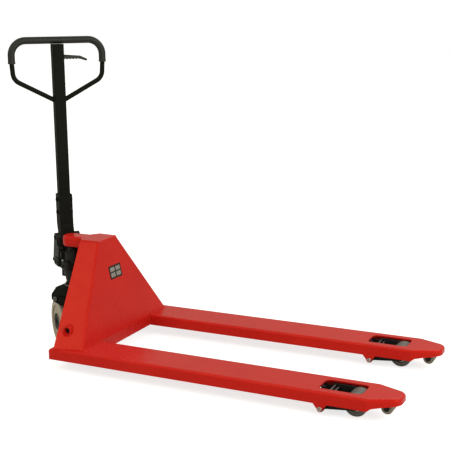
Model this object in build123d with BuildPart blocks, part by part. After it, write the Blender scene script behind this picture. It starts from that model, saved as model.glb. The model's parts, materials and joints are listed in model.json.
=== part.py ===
from build123d import *
import os
from math import asin, atan, cos, degrees, pi, radians, sin, sqrt

os.makedirs("parts", exist_ok=True)

# ---------------------------------------------------------------------------
# Driving dimensions, in millimetres and degrees. Heights are above the floor
# with the forks lowered. Chassis X runs from the fork heels towards the tips.
# ---------------------------------------------------------------------------
RUNNING = 0.05                # radial clearance of a pin or shaft that turns
FIT = 0.05                    # gap around a piece that sits in another

# Forks
FORK_LENGTH = 1342.0
OVERALL_WIDTH = 685.0
FORK_WIDTH = 160.0
FORK_TOP = 85.0
SKIRT_BOTTOM = 43.0
SHEET = 5.0
BEND_RADIUS = 10.0
TAPER_START = 1240.0
NOSE_CORNER = 36.0
NOSE_HALF = 50.0
TAPER_ROUNDING = 90.0
TIP_BOTTOM = 63.0
WINDOW_START = 1061.0
WINDOW_END = 1214.0
WINDOW_WIDTH = 89.0
WINDOW_CORNER = 18.0
FORK_Y = (OVERALL_WIDTH - FORK_WIDTH) / 2
SEAT_DEPTH = 0.5              # shallow seat pressed into the fork top under the frame

# Lift and rocker
LIFT = 110.0
SHAFT_X = 53.0
SHAFT_Z = 146.0
SHAFT_RADIUS = 12.5
ROCKER_PIN_X = -130.0
ROCKER_PIN_RADIUS = 8.0
ROCKER_TUBE_RADIUS = 21.0
REAR_ARM_Y = 95.0
REAR_ARM_THICKNESS = 12.0
DOWN_ARM_LENGTH = 84.0
DOWN_ARM_THICKNESS = 12.0
ROD_PIN_RADIUS = 7.0
PUSH_ROD_Z = 64.0
PUSH_ROD_RADIUS = 9.0
ROD_EYE_THICKNESS = 10.0
ROD_PLAY = 0.7                # side play of a pin in a push rod's upright slot

# Load wheel links
LINK_PIN_X = 1080.0
LINK_PIN_Z = 25.0
LINK_PIN_RADIUS = 8.0
LOAD_ROLLER_X = 1188.0
LOAD_ROLLER_RADIUS = 40.0
LOAD_ROLLER_WIDTH = 69.0
LINK_PLATE_INNER = 36.0
LINK_PLATE_THICKNESS = 5.5
LINK_PLATE_END = 17.0
LINK_ROD_PIN_RADIUS = 6.0
ROLLER_AXLE_RADIUS = 10.0
ENTRY_ROLLER_X = 1292.0
ENTRY_ROLLER_Z = 42.0
ENTRY_ROLLER_RADIUS = 20.0
ENTRY_ROLLER_WIDTH = 50.0
ENTRY_AXLE_RADIUS = 6.0

# Folded frame between the forks
FRAME_SHEET = 5.0
CREASE_RADIUS = 9.0
FRAME_FOOT = FORK_TOP - SEAT_DEPTH
FRAME_TOP = 437.0
FRONT_BOTTOM_X = 133.0
FRONT_TOP_X = 57.0
REAR_BOTTOM_X = 21.0
REAR_TOP_X = -23.0
FRONT_BOTTOM_Y = 314.0
FRONT_TOP_Y = 68.0
REAR_BOTTOM_Y = 342.0
REAR_TOP_Y = 75.0
TOP_PLATE_THICKNESS = 6.0
NOSE_HALF_WIDTH = 32.0
NOSE_BOTTOM = 400.0

# Steering unit: X and Y are measured from the kingpin, handle towards -X
KINGPIN_X = -110.0
STEER_REST = -40.0            # angle the unit stands at, about +Z
STEM_RADIUS = 28.0
THRUST_TOP = 235.0
BEARING_HEIGHT = 5.5
STEER_WHEEL_RADIUS = 90.0
STEER_WHEEL_WIDTH = 50.0
STEER_WHEEL_OUTER_Y = 80.0
STEER_HUB_RADIUS = 27.0
WHEEL_AXLE_RADIUS = 10.0
RAM_RADIUS = 15.0
RAM_BOTTOM = 140.0
RAM_TOP = 404.0
CYLINDER_RADIUS = 33.0
CYLINDER_TOP = 376.0
TILLER_PIVOT_X = -82.0
TILLER_PIVOT_Z = 420.0
TILLER_PIVOT_RADIUS = 10.0
LUG_INNER = 31.0
LUG_OUTER = 50.0
CAM_ARM = 32.0
CAM_ANGLE = 37.5              # cam roller above the pivot, seen from behind it
CAM_ROLLER_RADIUS = 14.0
CAM_GAP = 0.75
PLUNGER_X = -110.0
PLUNGER_RADIUS = 12.0
RESERVOIR_TOP = 336.0
RELEASE_PIN_X = -46.0
RELEASE_PIN_Z = 378.0

# Tiller
TILLER_X = -104.0
POST_WIDTH = 45.0
POST_WALL = 3.0
POST_BOTTOM = 500.0
POST_TOP = 1197.0
YOKE_WALL = 5.0
YOKE_TOP = 594.0
LOOP_HALF_WIDTH = 184.0
LOOP_TOP = 1212.0
LOOP_TUBE_RADIUS = 9.5
LOOP_CORNER = 58.0
GRIP_RADIUS = 14.0
GRIP_BOTTOM = 1124.0
LEVER_Z = 1145.0
ROD_OFFSET = 13.0

# ---------------------------------------------------------------------------
# Derived frames. The origin is on the floor under the middle of the overall box.
# ---------------------------------------------------------------------------
TURN = radians(STEER_REST)
REAR_END = KINGPIN_X + TILLER_X * cos(TURN) + LOOP_HALF_WIDTH * sin(TURN) - GRIP_RADIUS
HEEL_X = -(FORK_LENGTH + REAR_END) / 2
CHASSIS = Plane(origin=(HEEL_X, 0, 0))
STEER = Plane(origin=(HEEL_X + KINGPIN_X, 0, 0), x_dir=(cos(TURN), sin(TURN), 0))

# The rocker's rear arm swings equally above and below level
ROCKER_PIN_Z = SHAFT_Z + LIFT / 2
ROCKER_HALF_ANGLE = atan(LIFT / 2 / (SHAFT_X - ROCKER_PIN_X))
ROD_HALF_TRAVEL = DOWN_ARM_LENGTH * sin(ROCKER_HALF_ANGLE)
ROD_PIN_REST_X = SHAFT_X - ROD_HALF_TRAVEL
ROD_PIN_REST_Z = SHAFT_Z - DOWN_ARM_LENGTH * cos(ROCKER_HALF_ANGLE)
ROD_PIN_LOW_Z = SHAFT_Z - DOWN_ARM_LENGTH
# The link turns until the roller has gone down by the whole lift
LINK_ARM = sqrt((LOAD_ROLLER_X - LINK_PIN_X) ** 2 + (LOAD_ROLLER_RADIUS - LINK_PIN_Z) ** 2)
LINK_ARM_REST = asin((LOAD_ROLLER_RADIUS - LINK_PIN_Z) / LINK_ARM)
LINK_ARM_DOWN = asin((LIFT - LOAD_ROLLER_RADIUS + LINK_PIN_Z) / LINK_ARM)
LINK_HALF_ANGLE = (LINK_ARM_REST + LINK_ARM_DOWN) / 2
LINK_ROD_ARM = ROD_HALF_TRAVEL / sin(LINK_HALF_ANGLE)
LINK_ROD_X = LINK_PIN_X - ROD_HALF_TRAVEL
LINK_ROD_Z = LINK_PIN_Z + LINK_ROD_ARM * cos(LINK_HALF_ANGLE)
LINK_ROD_HIGH_Z = LINK_PIN_Z + LINK_ROD_ARM
CAM_X = TILLER_PIVOT_X - CAM_ARM * cos(radians(CAM_ANGLE))
CAM_Z = TILLER_PIVOT_Z + CAM_ARM * sin(radians(CAM_ANGLE))
CAP_TOP = CAM_Z - CAM_ROLLER_RADIUS - CAM_GAP
SIDES = {"left": 1, "right": -1}


def level(frame, z):
    """Horizontal plane at height z, facing up: sketch axes are the frame's X and Y."""
    return Plane(frame.from_local_coords(Vector(0, 0, z)), x_dir=frame.x_dir, z_dir=(0, 0, 1))


def upright(frame, y):
    """Fore-and-aft plane facing the frame's -Y: sketch axes are the frame's X and height."""
    return Plane(frame.from_local_coords(Vector(0, y, 0)), x_dir=frame.x_dir, z_dir=-frame.y_dir)


def across(frame, x):
    """Crosswise plane facing the frame's +X: sketch axes are the frame's Y and height."""
    return Plane(frame.from_local_coords(Vector(x, 0, 0)), x_dir=frame.y_dir, z_dir=frame.x_dir)


def bar_along(frame, start, direction, radius, length, mode=Mode.ADD):
    """Round bar from a point of the frame along one of the frame's directions."""
    place = Plane(frame.from_local_coords(Vector(*start)), z_dir=direction)
    with Locations(place):
        Cylinder(radius, length, align=(Align.CENTER, Align.CENTER, Align.MIN), mode=mode)


def crossbar(frame, x, z, radius, y_low, y_high, mode=Mode.ADD):
    """Round bar along the frame's Y from y_low to y_high."""
    bar_along(frame, (x, y_low, z), frame.y_dir, radius, y_high - y_low, mode)


def column(frame, x, y, radius, z_low, z_high, mode=Mode.ADD):
    """Upright round bar from z_low to z_high."""
    bar_along(frame, (x, y, z_low), frame.z_dir, radius, z_high - z_low, mode)


def save(builder, name):
    """Label the finished piece and write its STEP file."""
    builder.part.label = name
    export_step(builder.part, f"parts/{name}.step")


# ---------------------------------------------------------------------------
# Forks: pressed channels, open underneath, with a window over the load roller
# ---------------------------------------------------------------------------
def fork_solid(centre_y, inset, height):
    """Fork plan with a rounded, tapered nose, extruded and bent over along its top edge."""
    half = FORK_WIDTH / 2 - inset
    with BuildPart() as solid:
        with BuildSketch(Plane((HEEL_X, centre_y, 0))) as plan:
            with Locations((FORK_LENGTH - NOSE_CORNER, NOSE_HALF - NOSE_CORNER),
                           (FORK_LENGTH - NOSE_CORNER, NOSE_CORNER - NOSE_HALF)):
                Circle(NOSE_CORNER - inset)
            with Locations((TAPER_START - SHEET, 0)):
                Rectangle(2 * SHEET, 2 * half)
            make_hull()
            with Locations(((TAPER_START + inset) / 2, 0)):
                Rectangle(TAPER_START - inset, 2 * half)
            corner_x = HEEL_X + TAPER_START
            corners = plan.vertices().filter_by_position(Axis.X, corner_x - SHEET, corner_x + SHEET)
            fillet(corners, TAPER_ROUNDING - inset)
        extrude(amount=height)
        fillet(solid.faces().sort_by(Axis.Z)[-1].edges(), BEND_RADIUS - inset)
    return solid.part


def make_fork(name, centre_y):
    """One fork with its ears, window, opening for the rocker arm and swept-up tip."""
    ear_half = 25.0
    ear_radius = 10.0
    arm_opening_start = SHAFT_X - 42.0
    arm_opening_end = SHAFT_X + 42.0
    arm_opening_width = 46.0
    outer = fork_solid(centre_y, 0, FORK_TOP)
    inner = fork_solid(centre_y, SHEET, FORK_TOP - SHEET)
    with BuildPart() as fork:
        add(outer)
        with BuildSketch(level(CHASSIS, FORK_TOP - SEAT_DEPTH)):
            with Locations((FRONT_BOTTOM_X / 2, centre_y)):
                Rectangle(FRONT_BOTTOM_X, FORK_WIDTH)
        extrude(amount=SEAT_DEPTH, mode=Mode.SUBTRACT)
        add(inner, mode=Mode.SUBTRACT)
        # Skirt edge: level, with an ear at the link pin, then stepped up under the tip
        with BuildSketch(upright(CHASSIS, centre_y + FORK_WIDTH / 2)):
            with BuildLine():
                Polyline((0, 0), (0, SKIRT_BOTTOM), (LINK_PIN_X - ear_half, SKIRT_BOTTOM))
                Line((LINK_PIN_X - ear_half, SKIRT_BOTTOM), (LINK_PIN_X - ear_radius, LINK_PIN_Z))
                ThreePointArc((LINK_PIN_X - ear_radius, LINK_PIN_Z),
                              (LINK_PIN_X, LINK_PIN_Z - ear_radius),
                              (LINK_PIN_X + ear_radius, LINK_PIN_Z))
                Line((LINK_PIN_X + ear_radius, LINK_PIN_Z), (LINK_PIN_X + ear_half, SKIRT_BOTTOM))
                Line((LINK_PIN_X + ear_half, SKIRT_BOTTOM), (TAPER_START, SKIRT_BOTTOM))
                Polyline((TAPER_START, SKIRT_BOTTOM), (TAPER_START + 13, TIP_BOTTOM - 11),
                         (TAPER_START + 46, TIP_BOTTOM - 6), (FORK_LENGTH, TIP_BOTTOM),
                         (FORK_LENGTH, 0), (0, 0))
            make_face()
        extrude(amount=FORK_WIDTH, mode=Mode.SUBTRACT)
        window_length = WINDOW_END - WINDOW_START
        with BuildSketch(Plane((HEEL_X + WINDOW_START + window_length / 2, centre_y, FORK_TOP))):
            RectangleRounded(window_length, WINDOW_WIDTH, WINDOW_CORNER)
        extrude(amount=-2 * SHEET, mode=Mode.SUBTRACT)
        opening_length = arm_opening_end - arm_opening_start
        with BuildSketch(Plane((HEEL_X + SHAFT_X, centre_y - (centre_y / FORK_Y) * 6, FORK_TOP))):
            RectangleRounded(opening_length, arm_opening_width, WINDOW_CORNER)
        extrude(amount=-2 * SHEET, mode=Mode.SUBTRACT)
        crossbar(CHASSIS, LINK_PIN_X, LINK_PIN_Z, LINK_PIN_RADIUS + FIT,
                 centre_y - FORK_WIDTH, centre_y + FORK_WIDTH, Mode.SUBTRACT)
    save(fork, name)


for side_name, side_sign in SIDES.items():
    make_fork(f"{side_name}_fork", side_sign * FORK_Y)


# ---------------------------------------------------------------------------
# Folded frame: a tent of sheet over the fork heels, open at the rear
# ---------------------------------------------------------------------------
def tent_section(z, front_x, front_y, rear_x, rear_y):
    """Level four-sided section of the frame, wider at the rear."""
    with BuildSketch(level(CHASSIS, z)) as section:
        Polygon((front_x, front_y), (front_x, -front_y), (rear_x, -rear_y), (rear_x, rear_y), align=None)
    return section.sketch


def creases(edges):
    """The two leaning front edges, where the front panel folds back into the sides."""
    leaning = [e for e in edges if abs((e @ 0).Z - (e @ 1).Z) > FRAME_TOP / 2]
    return sorted(leaning, key=lambda e: e.center().X)[-2:]


COLLAR_RADIUS = 19.0
wall_x = FRAME_SHEET * 1.03   # sheet thickness measured level through the leaning front
wall_y = FRAME_SHEET * 1.3    # and through the leaning sides
behind = 60.0
with BuildPart() as tent_inside:
    add(tent_section(FRAME_FOOT, FRONT_BOTTOM_X - wall_x, FRONT_BOTTOM_Y - wall_y,
                     REAR_BOTTOM_X - behind, REAR_BOTTOM_Y + 8.0 - wall_y))
    add(tent_section(FRAME_TOP, FRONT_TOP_X - wall_x, FRONT_TOP_Y - wall_y,
                     REAR_TOP_X - behind, REAR_TOP_Y + 5.0 - wall_y))
    loft(ruled=True)
    fillet(creases(tent_inside.edges()), CREASE_RADIUS - FRAME_SHEET)
with BuildPart() as frame_panel:
    add(tent_section(FRAME_FOOT, FRONT_BOTTOM_X, FRONT_BOTTOM_Y, REAR_BOTTOM_X, REAR_BOTTOM_Y))
    add(tent_section(FRAME_TOP, FRONT_TOP_X, FRONT_TOP_Y, REAR_TOP_X, REAR_TOP_Y))
    loft(ruled=True)
    fillet(creases(frame_panel.edges()), CREASE_RADIUS)
    add(tent_inside.part, mode=Mode.SUBTRACT)
    # Upright strip that closes the gap between the forks
    gap_half = FORK_Y - FORK_WIDTH / 2 - FIT
    with BuildSketch(across(CHASSIS, FRONT_BOTTOM_X - FRAME_SHEET)):
        with Locations((0, (SKIRT_BOTTOM + FORK_TOP) / 2)):
            Rectangle(2 * gap_half, FORK_TOP - SKIRT_BOTTOM)
    extrude(amount=FRAME_SHEET)
    crossbar(CHASSIS, SHAFT_X, SHAFT_Z, COLLAR_RADIUS + FIT, -OVERALL_WIDTH / 2, OVERALL_WIDTH / 2,
             Mode.SUBTRACT)
save(frame_panel, "frame_panel")

collar_inner_y = 274.0
collar_outer_y = 295.0
with BuildPart() as shaft_collars:
    for side_sign in SIDES.values():
        low = min(side_sign * collar_inner_y, side_sign * collar_outer_y)
        high = max(side_sign * collar_inner_y, side_sign * collar_outer_y)
        crossbar(CHASSIS, SHAFT_X, SHAFT_Z, COLLAR_RADIUS, low, high)
        crossbar(CHASSIS, SHAFT_X, SHAFT_Z, SHAFT_RADIUS + RUNNING, low, high, Mode.SUBTRACT)
save(shaft_collars, "shaft_collars")


def nose_outline(inset):
    """Plan of the top plate's nose, round about the kingpin."""
    with BuildSketch(level(CHASSIS, NOSE_BOTTOM)) as outline:
        with Locations((KINGPIN_X, 0)):
            Circle(NOSE_HALF_WIDTH - inset)
        with Locations((KINGPIN_X / 2 + FRONT_TOP_X / 4, 0)):
            Rectangle(FRONT_TOP_X / 2 - KINGPIN_X - 2 * inset, 2 * (NOSE_HALF_WIDTH - inset))
    return outline.sketch


with BuildPart() as top_plate:
    # Walls of the nose
    add(nose_outline(0))
    extrude(amount=FRAME_TOP - NOSE_BOTTOM)
    add(nose_outline(TOP_PLATE_THICKNESS))
    extrude(amount=FRAME_TOP - NOSE_BOTTOM, mode=Mode.SUBTRACT)
    # Flat top, spreading out over the frame
    with BuildSketch(level(CHASSIS, FRAME_TOP)):
        with Locations((KINGPIN_X, 0)):
            Circle(NOSE_HALF_WIDTH)
        Polygon((KINGPIN_X, NOSE_HALF_WIDTH), (REAR_TOP_X - 26, NOSE_HALF_WIDTH),
                (REAR_TOP_X, REAR_TOP_Y - 6), (FRONT_TOP_X, FRONT_TOP_Y - 4),
                (FRONT_TOP_X, -FRONT_TOP_Y + 4), (REAR_TOP_X, -REAR_TOP_Y + 6),
                (REAR_TOP_X - 26, -NOSE_HALF_WIDTH), (KINGPIN_X, -NOSE_HALF_WIDTH), align=None)
    extrude(amount=TOP_PLATE_THICKNESS)
    fillet(top_plate.faces().sort_by(Axis.Z)[-1].edges(), 4.5)
    fillet(top_plate.faces().sort_by(Axis.Z)[0].outer_wire().edges(), 4.5)
save(top_plate, "top_plate")

seat_gap = 0.3
seat_radius = NOSE_HALF_WIDTH - TOP_PLATE_THICKNESS - FIT
with BuildPart() as ram_seat:
    column(CHASSIS, KINGPIN_X, 0, seat_radius, RAM_TOP + seat_gap, FRAME_TOP)
save(ram_seat, "ram_seat")

cross_low = 48.0
cross_high = 78.0
cross_depth = 24.0
with BuildPart() as cross_member:
    with BuildSketch(upright(CHASSIS, gap_half)):
        with Locations((FRONT_BOTTOM_X - FRAME_SHEET - cross_depth / 2 - FIT, (cross_low + cross_high) / 2)):
            RectangleRounded(cross_depth, cross_high - cross_low, 4)
            RectangleRounded(cross_depth - 6, cross_high - cross_low - 6, 2, mode=Mode.SUBTRACT)
    extrude(amount=2 * gap_half)
save(cross_member, "cross_member")

# Blank rating plate with its rivets, on the leaning front panel
front_lean = degrees(atan((FRONT_BOTTOM_X - FRONT_TOP_X) / (FRAME_TOP - FORK_TOP)))
plate_z = 310.0
plate_y = 6.0
plate_width = 84.0
plate_height = 52.0
plate_x = FRONT_BOTTOM_X - (FRONT_BOTTOM_X - FRONT_TOP_X) * (plate_z - FORK_TOP) / (FRAME_TOP - FORK_TOP)
front_face = Plane((HEEL_X + plate_x, plate_y, plate_z), x_dir=(0, 1, 0),
                   z_dir=(cos(radians(front_lean)), 0, sin(radians(front_lean))))
with BuildPart() as rating_plate:
    with BuildSketch(front_face.offset(FIT)):
        RectangleRounded(plate_width, plate_height, 4)
    extrude(amount=1.0)
    with BuildSketch(front_face.offset(FIT + 1.0)):
        with GridLocations(plate_width - 8, plate_height - 8, 2, 2):
            Circle(1.8)
    extrude(amount=1.2)
save(rating_plate, "rating_plate")

# Link pins, through both ears of each fork
pin_half = FORK_WIDTH / 2 + 1.5
with BuildPart() as link_pins:
    for side_sign in SIDES.values():
        centre = side_sign * FORK_Y
        crossbar(CHASSIS, LINK_PIN_X, LINK_PIN_Z, LINK_PIN_RADIUS, centre - pin_half, centre + pin_half)
    chamfer(link_pins.edges().filter_by(GeomType.CIRCLE), 1.2)
save(link_pins, "link_pins")

# Hanging brackets and axle of each entry roller, inside the tip
bracket_inner = ENTRY_ROLLER_WIDTH / 2 + 2.0
bracket_thickness = 4.0
bracket_foot = 9.0
with BuildPart() as entry_brackets:
    for side_sign in SIDES.values():
        for face_sign in SIDES.values():
            middle = side_sign * FORK_Y + face_sign * (bracket_inner + bracket_thickness / 2)
            with BuildSketch(upright(CHASSIS, middle + bracket_thickness / 2)):
                with Locations((ENTRY_ROLLER_X, ENTRY_ROLLER_Z)):
                    Circle(bracket_foot)
                with Locations((ENTRY_ROLLER_X, FORK_TOP - SHEET - FIT - 2)):
                    Rectangle(30, 4)
                make_hull()
                with Locations((ENTRY_ROLLER_X, ENTRY_ROLLER_Z)):
                    Circle(ENTRY_AXLE_RADIUS + FIT, mode=Mode.SUBTRACT)
            extrude(amount=bracket_thickness)
save(entry_brackets, "entry_brackets")

entry_axle_half = bracket_inner + bracket_thickness + 2
with BuildPart() as entry_axles:
    for side_sign in SIDES.values():
        centre = side_sign * FORK_Y
        crossbar(CHASSIS, ENTRY_ROLLER_X, ENTRY_ROLLER_Z, ENTRY_AXLE_RADIUS,
                 centre - entry_axle_half, centre + entry_axle_half)
save(entry_axles, "entry_axles")


def make_roller(name, x, z, radius, bore, width, centre_y):
    """Plain roller along Y with rounded rims."""
    with BuildPart() as roller:
        crossbar(CHASSIS, x, z, radius, centre_y - width / 2, centre_y + width / 2)
        fillet(roller.edges().filter_by(GeomType.CIRCLE), 3.0 if radius - bore > 8 else 0.6)
        crossbar(CHASSIS, x, z, bore, centre_y - width, centre_y + width, Mode.SUBTRACT)
    save(roller, name)


# ---------------------------------------------------------------------------
# Rocker: shaft, tube with rear and down arms, and the pins that drive the rods
# ---------------------------------------------------------------------------
def arm_span(inner_y, thickness, side_sign):
    """Lowest and highest Y of an arm on one side."""
    ends = sorted((side_sign * inner_y, side_sign * (inner_y + thickness)))
    return ends[0], ends[1]


rear_reach = sqrt((SHAFT_X - ROCKER_PIN_X) ** 2 + (LIFT / 2) ** 2)
slot_play = rear_reach - (SHAFT_X - ROCKER_PIN_X)
slot_radius = ROCKER_PIN_RADIUS + 0.8
rear_boss = 15.0
arm_boss = ROCKER_TUBE_RADIUS + 3.0
down_arm_inner = FORK_Y - ROD_EYE_THICKNESS / 2 - 1.0 - DOWN_ARM_THICKNESS
rear_direction = 180 - degrees(ROCKER_HALF_ANGLE)
down_direction = 270 - degrees(ROCKER_HALF_ANGLE)
with BuildPart() as rocker_frame:
    crossbar(CHASSIS, SHAFT_X, SHAFT_Z, ROCKER_TUBE_RADIUS,
             -down_arm_inner - DOWN_ARM_THICKNESS, down_arm_inner + DOWN_ARM_THICKNESS)
    for side_sign in SIDES.values():
        arm_low, arm_high = arm_span(REAR_ARM_Y, REAR_ARM_THICKNESS, side_sign)
        arm_plane = upright(CHASSIS, arm_high)
        with BuildSketch(arm_plane):
            with Locations((SHAFT_X, SHAFT_Z)):
                Circle(arm_boss)
            with Locations((ROCKER_PIN_X, ROCKER_PIN_Z)):
                Circle(rear_boss)
            make_hull()
        extrude(amount=REAR_ARM_THICKNESS)
        slot_middle = rear_reach - slot_play / 2
        slot_x = SHAFT_X + slot_middle * cos(radians(rear_direction))
        slot_z = SHAFT_Z + slot_middle * sin(radians(rear_direction))
        with BuildSketch(arm_plane):
            with Locations(Location((slot_x, slot_z), rear_direction)):
                SlotCenterToCenter(slot_play + 0.6, 2 * slot_radius)
        extrude(amount=REAR_ARM_THICKNESS, mode=Mode.SUBTRACT)
        arm_low, arm_high = arm_span(down_arm_inner, DOWN_ARM_THICKNESS, side_sign)
        with BuildSketch(upright(CHASSIS, arm_high)):
            with Locations((SHAFT_X, SHAFT_Z)):
                Circle(arm_boss)
            with Locations((ROD_PIN_REST_X, ROD_PIN_REST_Z)):
                Circle(2 * ROD_PIN_RADIUS - 1)
            make_hull()
        extrude(amount=DOWN_ARM_THICKNESS)
        crossbar(CHASSIS, ROD_PIN_REST_X, ROD_PIN_REST_Z, ROD_PIN_RADIUS + FIT,
                 arm_low, arm_high, Mode.SUBTRACT)
    crossbar(CHASSIS, SHAFT_X, SHAFT_Z, SHAFT_RADIUS + FIT, -OVERALL_WIDTH / 2, OVERALL_WIDTH / 2,
             Mode.SUBTRACT)
save(rocker_frame, "rocker_frame")

shaft_half = 281.0
with BuildPart() as rocker_shaft:
    crossbar(CHASSIS, SHAFT_X, SHAFT_Z, SHAFT_RADIUS, -shaft_half, shaft_half)
    chamfer(rocker_shaft.edges().filter_by(GeomType.CIRCLE), 1.5)
save(rocker_shaft, "rocker_shaft")

pin_head = 3.0
with BuildPart() as rod_pins:
    for side_sign in SIDES.values():
        inner_face = down_arm_inner - FIT
        outer_face = down_arm_inner + DOWN_ARM_THICKNESS + ROD_EYE_THICKNESS + 2.0
        pin_low, pin_high = arm_span(inner_face, outer_face - inner_face, side_sign)
        crossbar(CHASSIS, ROD_PIN_REST_X, ROD_PIN_REST_Z, ROD_PIN_RADIUS, pin_low, pin_high)
        for face in (inner_face - pin_head, outer_face):
            head_low, head_high = arm_span(face, pin_head, side_sign)
            crossbar(CHASSIS, ROD_PIN_REST_X, ROD_PIN_REST_Z, ROD_PIN_RADIUS + 4, head_low, head_high)
save(rod_pins, "rod_pins")


# ---------------------------------------------------------------------------
# Push rods: straight bars with upright slots that let the pins rise and fall
# ---------------------------------------------------------------------------
def rod_eye(x, low_z, high_z, pin_radius, wall, neck):
    """Upright slotted eye of a push rod in the current sketch, with a flat neck towards the bar."""
    slot = high_z - low_z + 0.8
    middle = (high_z + low_z) / 2
    with Locations((x + neck / 2, PUSH_ROD_Z)):
        Rectangle(abs(neck), 2 * PUSH_ROD_RADIUS)
    with Locations(Location((x, middle), 90)):
        SlotCenterToCenter(slot, 2 * (pin_radius + wall))
        SlotCenterToCenter(slot, 2 * (pin_radius + ROD_PLAY), mode=Mode.SUBTRACT)


def make_push_rod(name, centre_y):
    """One push rod, from the rocker's down arm to the wheel link."""
    front_thickness = 20.0
    rear_neck = 46.0
    front_neck = -24.0
    with BuildPart() as rod:
        with BuildSketch(upright(CHASSIS, centre_y + ROD_EYE_THICKNESS / 2)):
            rod_eye(ROD_PIN_REST_X, ROD_PIN_LOW_Z, ROD_PIN_REST_Z, ROD_PIN_RADIUS, 5.0, rear_neck)
        extrude(amount=ROD_EYE_THICKNESS)
        with BuildSketch(upright(CHASSIS, centre_y + front_thickness / 2)):
            rod_eye(LINK_ROD_X, LINK_ROD_Z, LINK_ROD_HIGH_Z, LINK_ROD_PIN_RADIUS, 4.6, front_neck)
        extrude(amount=front_thickness)
        bar_start = ROD_PIN_REST_X + rear_neck - 4
        bar_along(CHASSIS, (bar_start, centre_y, PUSH_ROD_Z), (1, 0, 0), PUSH_ROD_RADIUS,
                  LINK_ROD_X + front_neck + 4 - bar_start)
    save(rod, name)


# ---------------------------------------------------------------------------
# Wheel links: bell cranks that swing the load rollers down under the forks
# ---------------------------------------------------------------------------
def make_wheel_link(prefix, centre_y):
    """Link frame, its rod pin, the roller axle, and the roller's tyre and core."""
    plate_outer = LINK_PLATE_INNER + LINK_PLATE_THICKNESS
    tube_half = FORK_WIDTH / 2 - SHEET - 0.5
    with BuildPart() as link:
        for side_sign in SIDES.values():
            plate_low, plate_high = arm_span(LINK_PLATE_INNER, LINK_PLATE_THICKNESS, side_sign)
            with BuildSketch(upright(CHASSIS, centre_y + plate_high)):
                with Locations((LINK_PIN_X, LINK_PIN_Z)):
                    Circle(LINK_PIN_RADIUS + 4.5)
                with Locations((LOAD_ROLLER_X, LOAD_ROLLER_RADIUS)):
                    Circle(LINK_PLATE_END)
                with Locations((LINK_ROD_X, LINK_ROD_Z)):
                    Circle(LINK_ROD_PIN_RADIUS + 5)
                make_hull()
            extrude(amount=LINK_PLATE_THICKNESS)
        # Bridge between the plates, behind the roller
        bridge_front = LOAD_ROLLER_X - LOAD_ROLLER_RADIUS - 5
        with BuildSketch(upright(CHASSIS, centre_y + LINK_PLATE_INNER + 1)):
            with Locations(((LINK_PIN_X + bridge_front) / 2, LINK_PIN_Z)):
                Rectangle(bridge_front - LINK_PIN_X, 7)
        extrude(amount=2 * (LINK_PLATE_INNER + 1))
        crossbar(CHASSIS, LINK_PIN_X, LINK_PIN_Z, LINK_PIN_RADIUS + 4, centre_y - tube_half,
                 centre_y + tube_half)
        crossbar(CHASSIS, LINK_PIN_X, LINK_PIN_Z, LINK_PIN_RADIUS + RUNNING,
                 centre_y - FORK_WIDTH, centre_y + FORK_WIDTH, Mode.SUBTRACT)
        crossbar(CHASSIS, LINK_ROD_X, LINK_ROD_Z, LINK_ROD_PIN_RADIUS + FIT,
                 centre_y - FORK_WIDTH, centre_y + FORK_WIDTH, Mode.SUBTRACT)
        crossbar(CHASSIS, LOAD_ROLLER_X, LOAD_ROLLER_RADIUS, ROLLER_AXLE_RADIUS + FIT,
                 centre_y - FORK_WIDTH, centre_y + FORK_WIDTH, Mode.SUBTRACT)
    save(link, f"{prefix}_wheel_link")

    with BuildPart() as rod_pin:
        crossbar(CHASSIS, LINK_ROD_X, LINK_ROD_Z, LINK_ROD_PIN_RADIUS,
                 centre_y - plate_outer - 0.6, centre_y + plate_outer + 0.6)
    save(rod_pin, f"{prefix}_link_rod_pin")

    with BuildPart() as axle:
        crossbar(CHASSIS, LOAD_ROLLER_X, LOAD_ROLLER_RADIUS, ROLLER_AXLE_RADIUS,
                 centre_y - plate_outer - 0.6, centre_y + plate_outer + 0.6)
    save(axle, f"{prefix}_roller_axle")

    core_radius = 24.0
    make_roller(f"{prefix}_load_tyre", LOAD_ROLLER_X, LOAD_ROLLER_RADIUS, LOAD_ROLLER_RADIUS,
                core_radius, LOAD_ROLLER_WIDTH, centre_y)
    make_roller(f"{prefix}_load_bearing", LOAD_ROLLER_X, LOAD_ROLLER_RADIUS, core_radius - FIT,
                ROLLER_AXLE_RADIUS + RUNNING, LOAD_ROLLER_WIDTH - 2, centre_y)
    make_roller(f"{prefix}_entry_roller", ENTRY_ROLLER_X, ENTRY_ROLLER_Z, ENTRY_ROLLER_RADIUS,
                ENTRY_AXLE_RADIUS + RUNNING, ENTRY_ROLLER_WIDTH, centre_y)


for side_name, side_sign in SIDES.items():
    make_push_rod(f"{side_name}_push_rod", side_sign * FORK_Y)
    make_wheel_link(side_name, side_sign * FORK_Y)

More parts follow.
